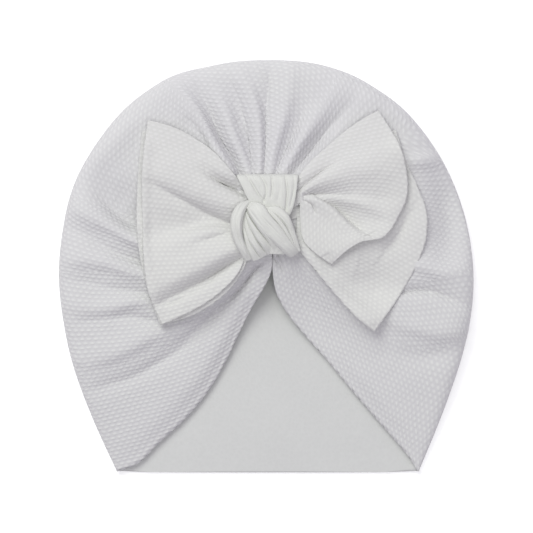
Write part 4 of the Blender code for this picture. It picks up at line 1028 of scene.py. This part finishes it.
def number_prop(name, description, default, low, high, unit="LENGTH"):
    """A number that a user can change, in metres unless another unit is given."""
    return bpy.props.FloatProperty(
        name=name, description=description, default=default, min=low, max=high, unit=unit
    )


def tone_prop(name, description, *default):
    """A colour that a user can change."""
    return bpy.props.FloatVectorProperty(
        name=name, description=description, default=(*default, 1.0), subtype="COLOR", size=4,
        min=0, max=1,
    )


def place_prop(name, description, *default):
    """A place that a user can change."""
    return bpy.props.FloatVectorProperty(
        name=name, description=description, default=default, size=3, unit="LENGTH"
    )


class TurbanCapSizes(bpy.types.PropertyGroup):
    """Sizes and colours of the cap's cloth."""

    cap_thickness: number_prop("Cap cloth", "Thickness of the cap's knit", CAP_WALL * MM, 0.0005, 0.003)
    bow_thickness: number_prop("Bow cloth", "Thickness of the bow's knit", BOW_WALL * MM, 0.0005, 0.003)
    bullet_length: number_prop("Bullet length", "Distance between bullets along a row", 0.0028, 0.001, 0.01)
    bullet_width: number_prop("Bullet width", "Distance between rows of bullets", 0.00175, 0.0005, 0.01)
    bow_bullets: number_prop(
        "Bow bullets", "Size of the bow's bullets against the cap's", 0.92, 0.3, 2, "NONE"
    )
    bow_show: number_prop(
        "Bow bullets show", "How much the bow's bullets show against the cap's", 0.7, 0, 2, "NONE"
    )
    bullet_rise: number_prop("Bullet rise", "How far the bullets stand up", 0.00018, 0, 0.001)
    cap_tone: tone_prop("Cap tone", "Colour of the cap's knit", 0.715, 0.717, 0.708)
    bow_tone: tone_prop("Bow tone", "Colour of the bow's strips", 0.718, 0.720, 0.697)
    strap_tone: tone_prop("Strap tone", "Colour of the tied strap", 0.700, 0.702, 0.680)
    inside_tone: tone_prop("Inside tone", "Colour of the wrong side of the knit", 0.650, 0.652, 0.648)
    # Painted shade: how much darker and more lilac the knit's colour is made between its bullets.
    painted_gap_shade: bpy.props.FloatVectorProperty(
        name="Gap shade", description="How much darker the knit is between its bullets",
        default=(0.885, 0.87, 0.905), size=3, min=0, max=1,
    )


class TurbanCapStudio(bpy.types.PropertyGroup):
    """Floor, light and camera."""

    floor_tone: tone_prop("Floor tone", "Colour of the floor", 0.92, 0.92, 0.92)
    floor_glow: number_prop("Floor glow", "How much the floor shines of itself", 0.3, 0, 2, "NONE")
    sky_tone: tone_prop("Sky tone", "Colour of the light from all round", 0.905, 0.85, 1.0)
    sky_strength: number_prop("Sky strength", "Strength of the light from all round", 0.42, 0, 5, "NONE")
    key_power: number_prop("Key power", "Power of the large soft light", 18.0, 0, 1000, "POWER")
    key_place: place_prop("Key place", "Where the large soft light stands", -0.50, 1.00, 1.40)
    key_size: number_prop("Key size", "Width of the soft lights", 1.1, 0.05, 5)
    fill_power: number_prop("Fill power", "Power of the soft light above the camera", 14.0, 0, 1000, "POWER")
    fill_place: place_prop("Fill place", "Where the soft light above the camera stands", 0.10, -0.45, 2.35)
    view_width: number_prop("View width", "Width of the picture at the cap", 0.2317, 0.1, 2)
    view_distance: number_prop("View distance", "Height of the camera above the cap", 1.5, 0.3, 10)


class TURBANCAP_OT_crown(bpy.types.Operator):
    """Make the cap: one sheet of knit, gathered behind the knot and open in a V at the face"""

    bl_idname = "turban_cap.make_crown"
    bl_label = "Make the crown"

    def execute(self, context):
        """Makes the cap's cloth."""
        sizes = context.scene.turban_cap
        points, outline_row = cap_cloth()
        region = cap_regions(points, outline_row)
        laid = lay_on_grain(points, CAP_GRAIN, region, outline_row)
        piece = grid_sheet("crown_knit", points, region, *laid, sizes.cap_thickness)
        outside = bullet_knit("cap_knit", sizes, tuple(sizes.cap_tone), 1.0, 1.0)
        inside = wrong_side("cap_knit_inside", tuple(sizes.inside_tone))
        finish_piece(piece, (outside, inside), "crown")
        return {"FINISHED"}


class TURBANCAP_OT_bow(bpy.types.Operator):
    """Make the bow's two strips, one on the other, each gathered in the middle"""

    bl_idname = "turban_cap.make_bow"
    bl_label = "Make the bow"

    def execute(self, context):
        """Makes the rear and the front strip."""
        sizes = context.scene.turban_cap
        under_front = CAP_WALL / 2 + REST_GAP + BOW_WALL
        strips = (
            ("rear", REAR_LEFT, REAR_RIGHT, CAP_WALL / 2, [REAR_FOLDS], REAR_GRAIN,
             ["crown_knit"], (0.125, 0.064)),
            ("front", FRONT_LEFT, FRONT_RIGHT, under_front, [REAR_FOLDS, FRONT_FOLDS], BOW_GRAIN,
             ["bow_rear_knit"], (0.125, 0.055)),
        )
        for name, left, right, under, tables, grain, rests_on, flat in strips:
            points = strip_cloth(name, left, right, under, tables)
            region = strip_regions(points, name)
            laid = lay_on_grain(points, grain, region)
            piece = grid_sheet(f"bow_{name}_knit", points, region, *laid, sizes.bow_thickness)
            tone, size, show = tuple(sizes.bow_tone), sizes.bow_bullets, sizes.bow_show
            outside = bullet_knit(f"bow_{name}_cloth", sizes, tone, size, show)
            inside = wrong_side(f"bow_{name}_cloth_inside", tuple(sizes.inside_tone))
            finish_piece(piece, (outside, inside), f"bow_{name}")
        return {"FINISHED"}


class TURBANCAP_OT_knot(bpy.types.Operator):
    """Make the tied strap: the ribbed band over the gather and the lump of the knot"""

    bl_idname = "turban_cap.make_knot"
    bl_label = "Make the knot"

    def execute(self, context):
        """Makes the bodies of the knot, laid over one another."""
        work = bmesh.new()
        layer = work.loops.layers.uv.new("grain")
        for count, (_, power, rows) in enumerate(KNOT_BODIES):
            knot_body(work, layer, power, rows, KNOT_SEED + KNOT_SEED_STEP * count)
        bmesh.ops.recalc_face_normals(work, faces=work.faces)
        piece = made_object("knot_strap", work)
        strap_tone = tuple(context.scene.turban_cap.strap_tone)
        finish_piece(piece, (strap_knit("strap_cloth", strap_tone),), "knot")
        return {"FINISHED"}


class TURBANCAP_OT_stage(bpy.types.Operator):
    """Make the pale floor, the soft light and the camera above the cap"""

    bl_idname = "turban_cap.make_stage"
    bl_label = "Make the stage"

    def execute(self, context):
        """Makes the floor, the lights and the camera."""
        scene, studio = context.scene, context.scene.turban_cap_studio
        work = bmesh.new()
        bmesh.ops.create_grid(work, x_segments=1, y_segments=1, size=FLOOR_SIZE)
        floor = made_object("floor", work)
        paper, nodes = cloth_material("floor_paper", tuple(studio.floor_tone))
        nodes.put(nodes.shader, {
            "Sheen Weight": 0.0,
            "Emission Color": (1.0, 1.0, 1.0, 1.0),
            "Emission Strength": studio.floor_glow,
        })
        floor.data.materials.append(paper)

        world = bpy.data.worlds.new("sky")
        world.use_nodes = True
        sky = world.node_tree.nodes["Background"]
        sky.inputs["Color"].default_value = tuple(studio.sky_tone)
        sky.inputs["Strength"].default_value = studio.sky_strength
        scene.world = world

        soft_light("key light", studio.key_place, studio.key_size, studio.key_power)
        soft_light("fill light", studio.fill_place, studio.key_size, studio.fill_power)

        lens = bpy.data.cameras.new("camera")
        lens.sensor_width = 36.0
        lens.lens = lens.sensor_width * studio.view_distance / studio.view_width
        lens.clip_start, lens.clip_end = 0.01, 50.0
        camera = bpy.data.objects.new("camera", lens)
        camera.location = (0.0, 0.0, studio.view_distance + VIEW_FROM_HEIGHT)
        scene.collection.objects.link(camera)
        scene.camera = camera
        scene.view_settings.view_transform = "Standard"
        return {"FINISHED"}


class TURBANCAP_PT_panel(bpy.types.Panel):
    """The cap's sizes and its makers' buttons"""

    bl_label = "Turban cap"
    bl_idname = "TURBANCAP_PT_panel"
    bl_space_type = "VIEW_3D"
    bl_region_type = "UI"
    bl_category = "Turban cap"

    def draw(self, context):
        """Lists the settings and the operators."""
        for group in (context.scene.turban_cap, context.scene.turban_cap_studio):
            for key in group.__annotations__:
                self.layout.prop(group, key)
        for maker in OPERATORS:
            self.layout.operator(maker.bl_idname)


GROUPS = (TurbanCapSizes, TurbanCapStudio)
OPERATORS = (TURBANCAP_OT_crown, TURBANCAP_OT_bow, TURBANCAP_OT_knot, TURBANCAP_OT_stage)


def register():
    """Registers the settings, the operators and the panel."""
    for group in (*GROUPS, *OPERATORS, TURBANCAP_PT_panel):
        bpy.utils.register_class(group)
    bpy.types.Scene.turban_cap = bpy.props.PointerProperty(type=TurbanCapSizes)
    bpy.types.Scene.turban_cap_studio = bpy.props.PointerProperty(type=TurbanCapStudio)


def unregister():
    """Takes away what register added."""
    del bpy.types.Scene.turban_cap_studio
    del bpy.types.Scene.turban_cap
    for group in reversed((*GROUPS, *OPERATORS, TURBANCAP_PT_panel)):
        bpy.utils.unregister_class(group)


def main():
    """Makes every piece."""
    register()
    bpy.ops.turban_cap.make_crown()
    bpy.ops.turban_cap.make_bow()
    bpy.ops.turban_cap.make_knot()
    bpy.ops.turban_cap.make_stage()


if __name__ == "__main__":
    main()
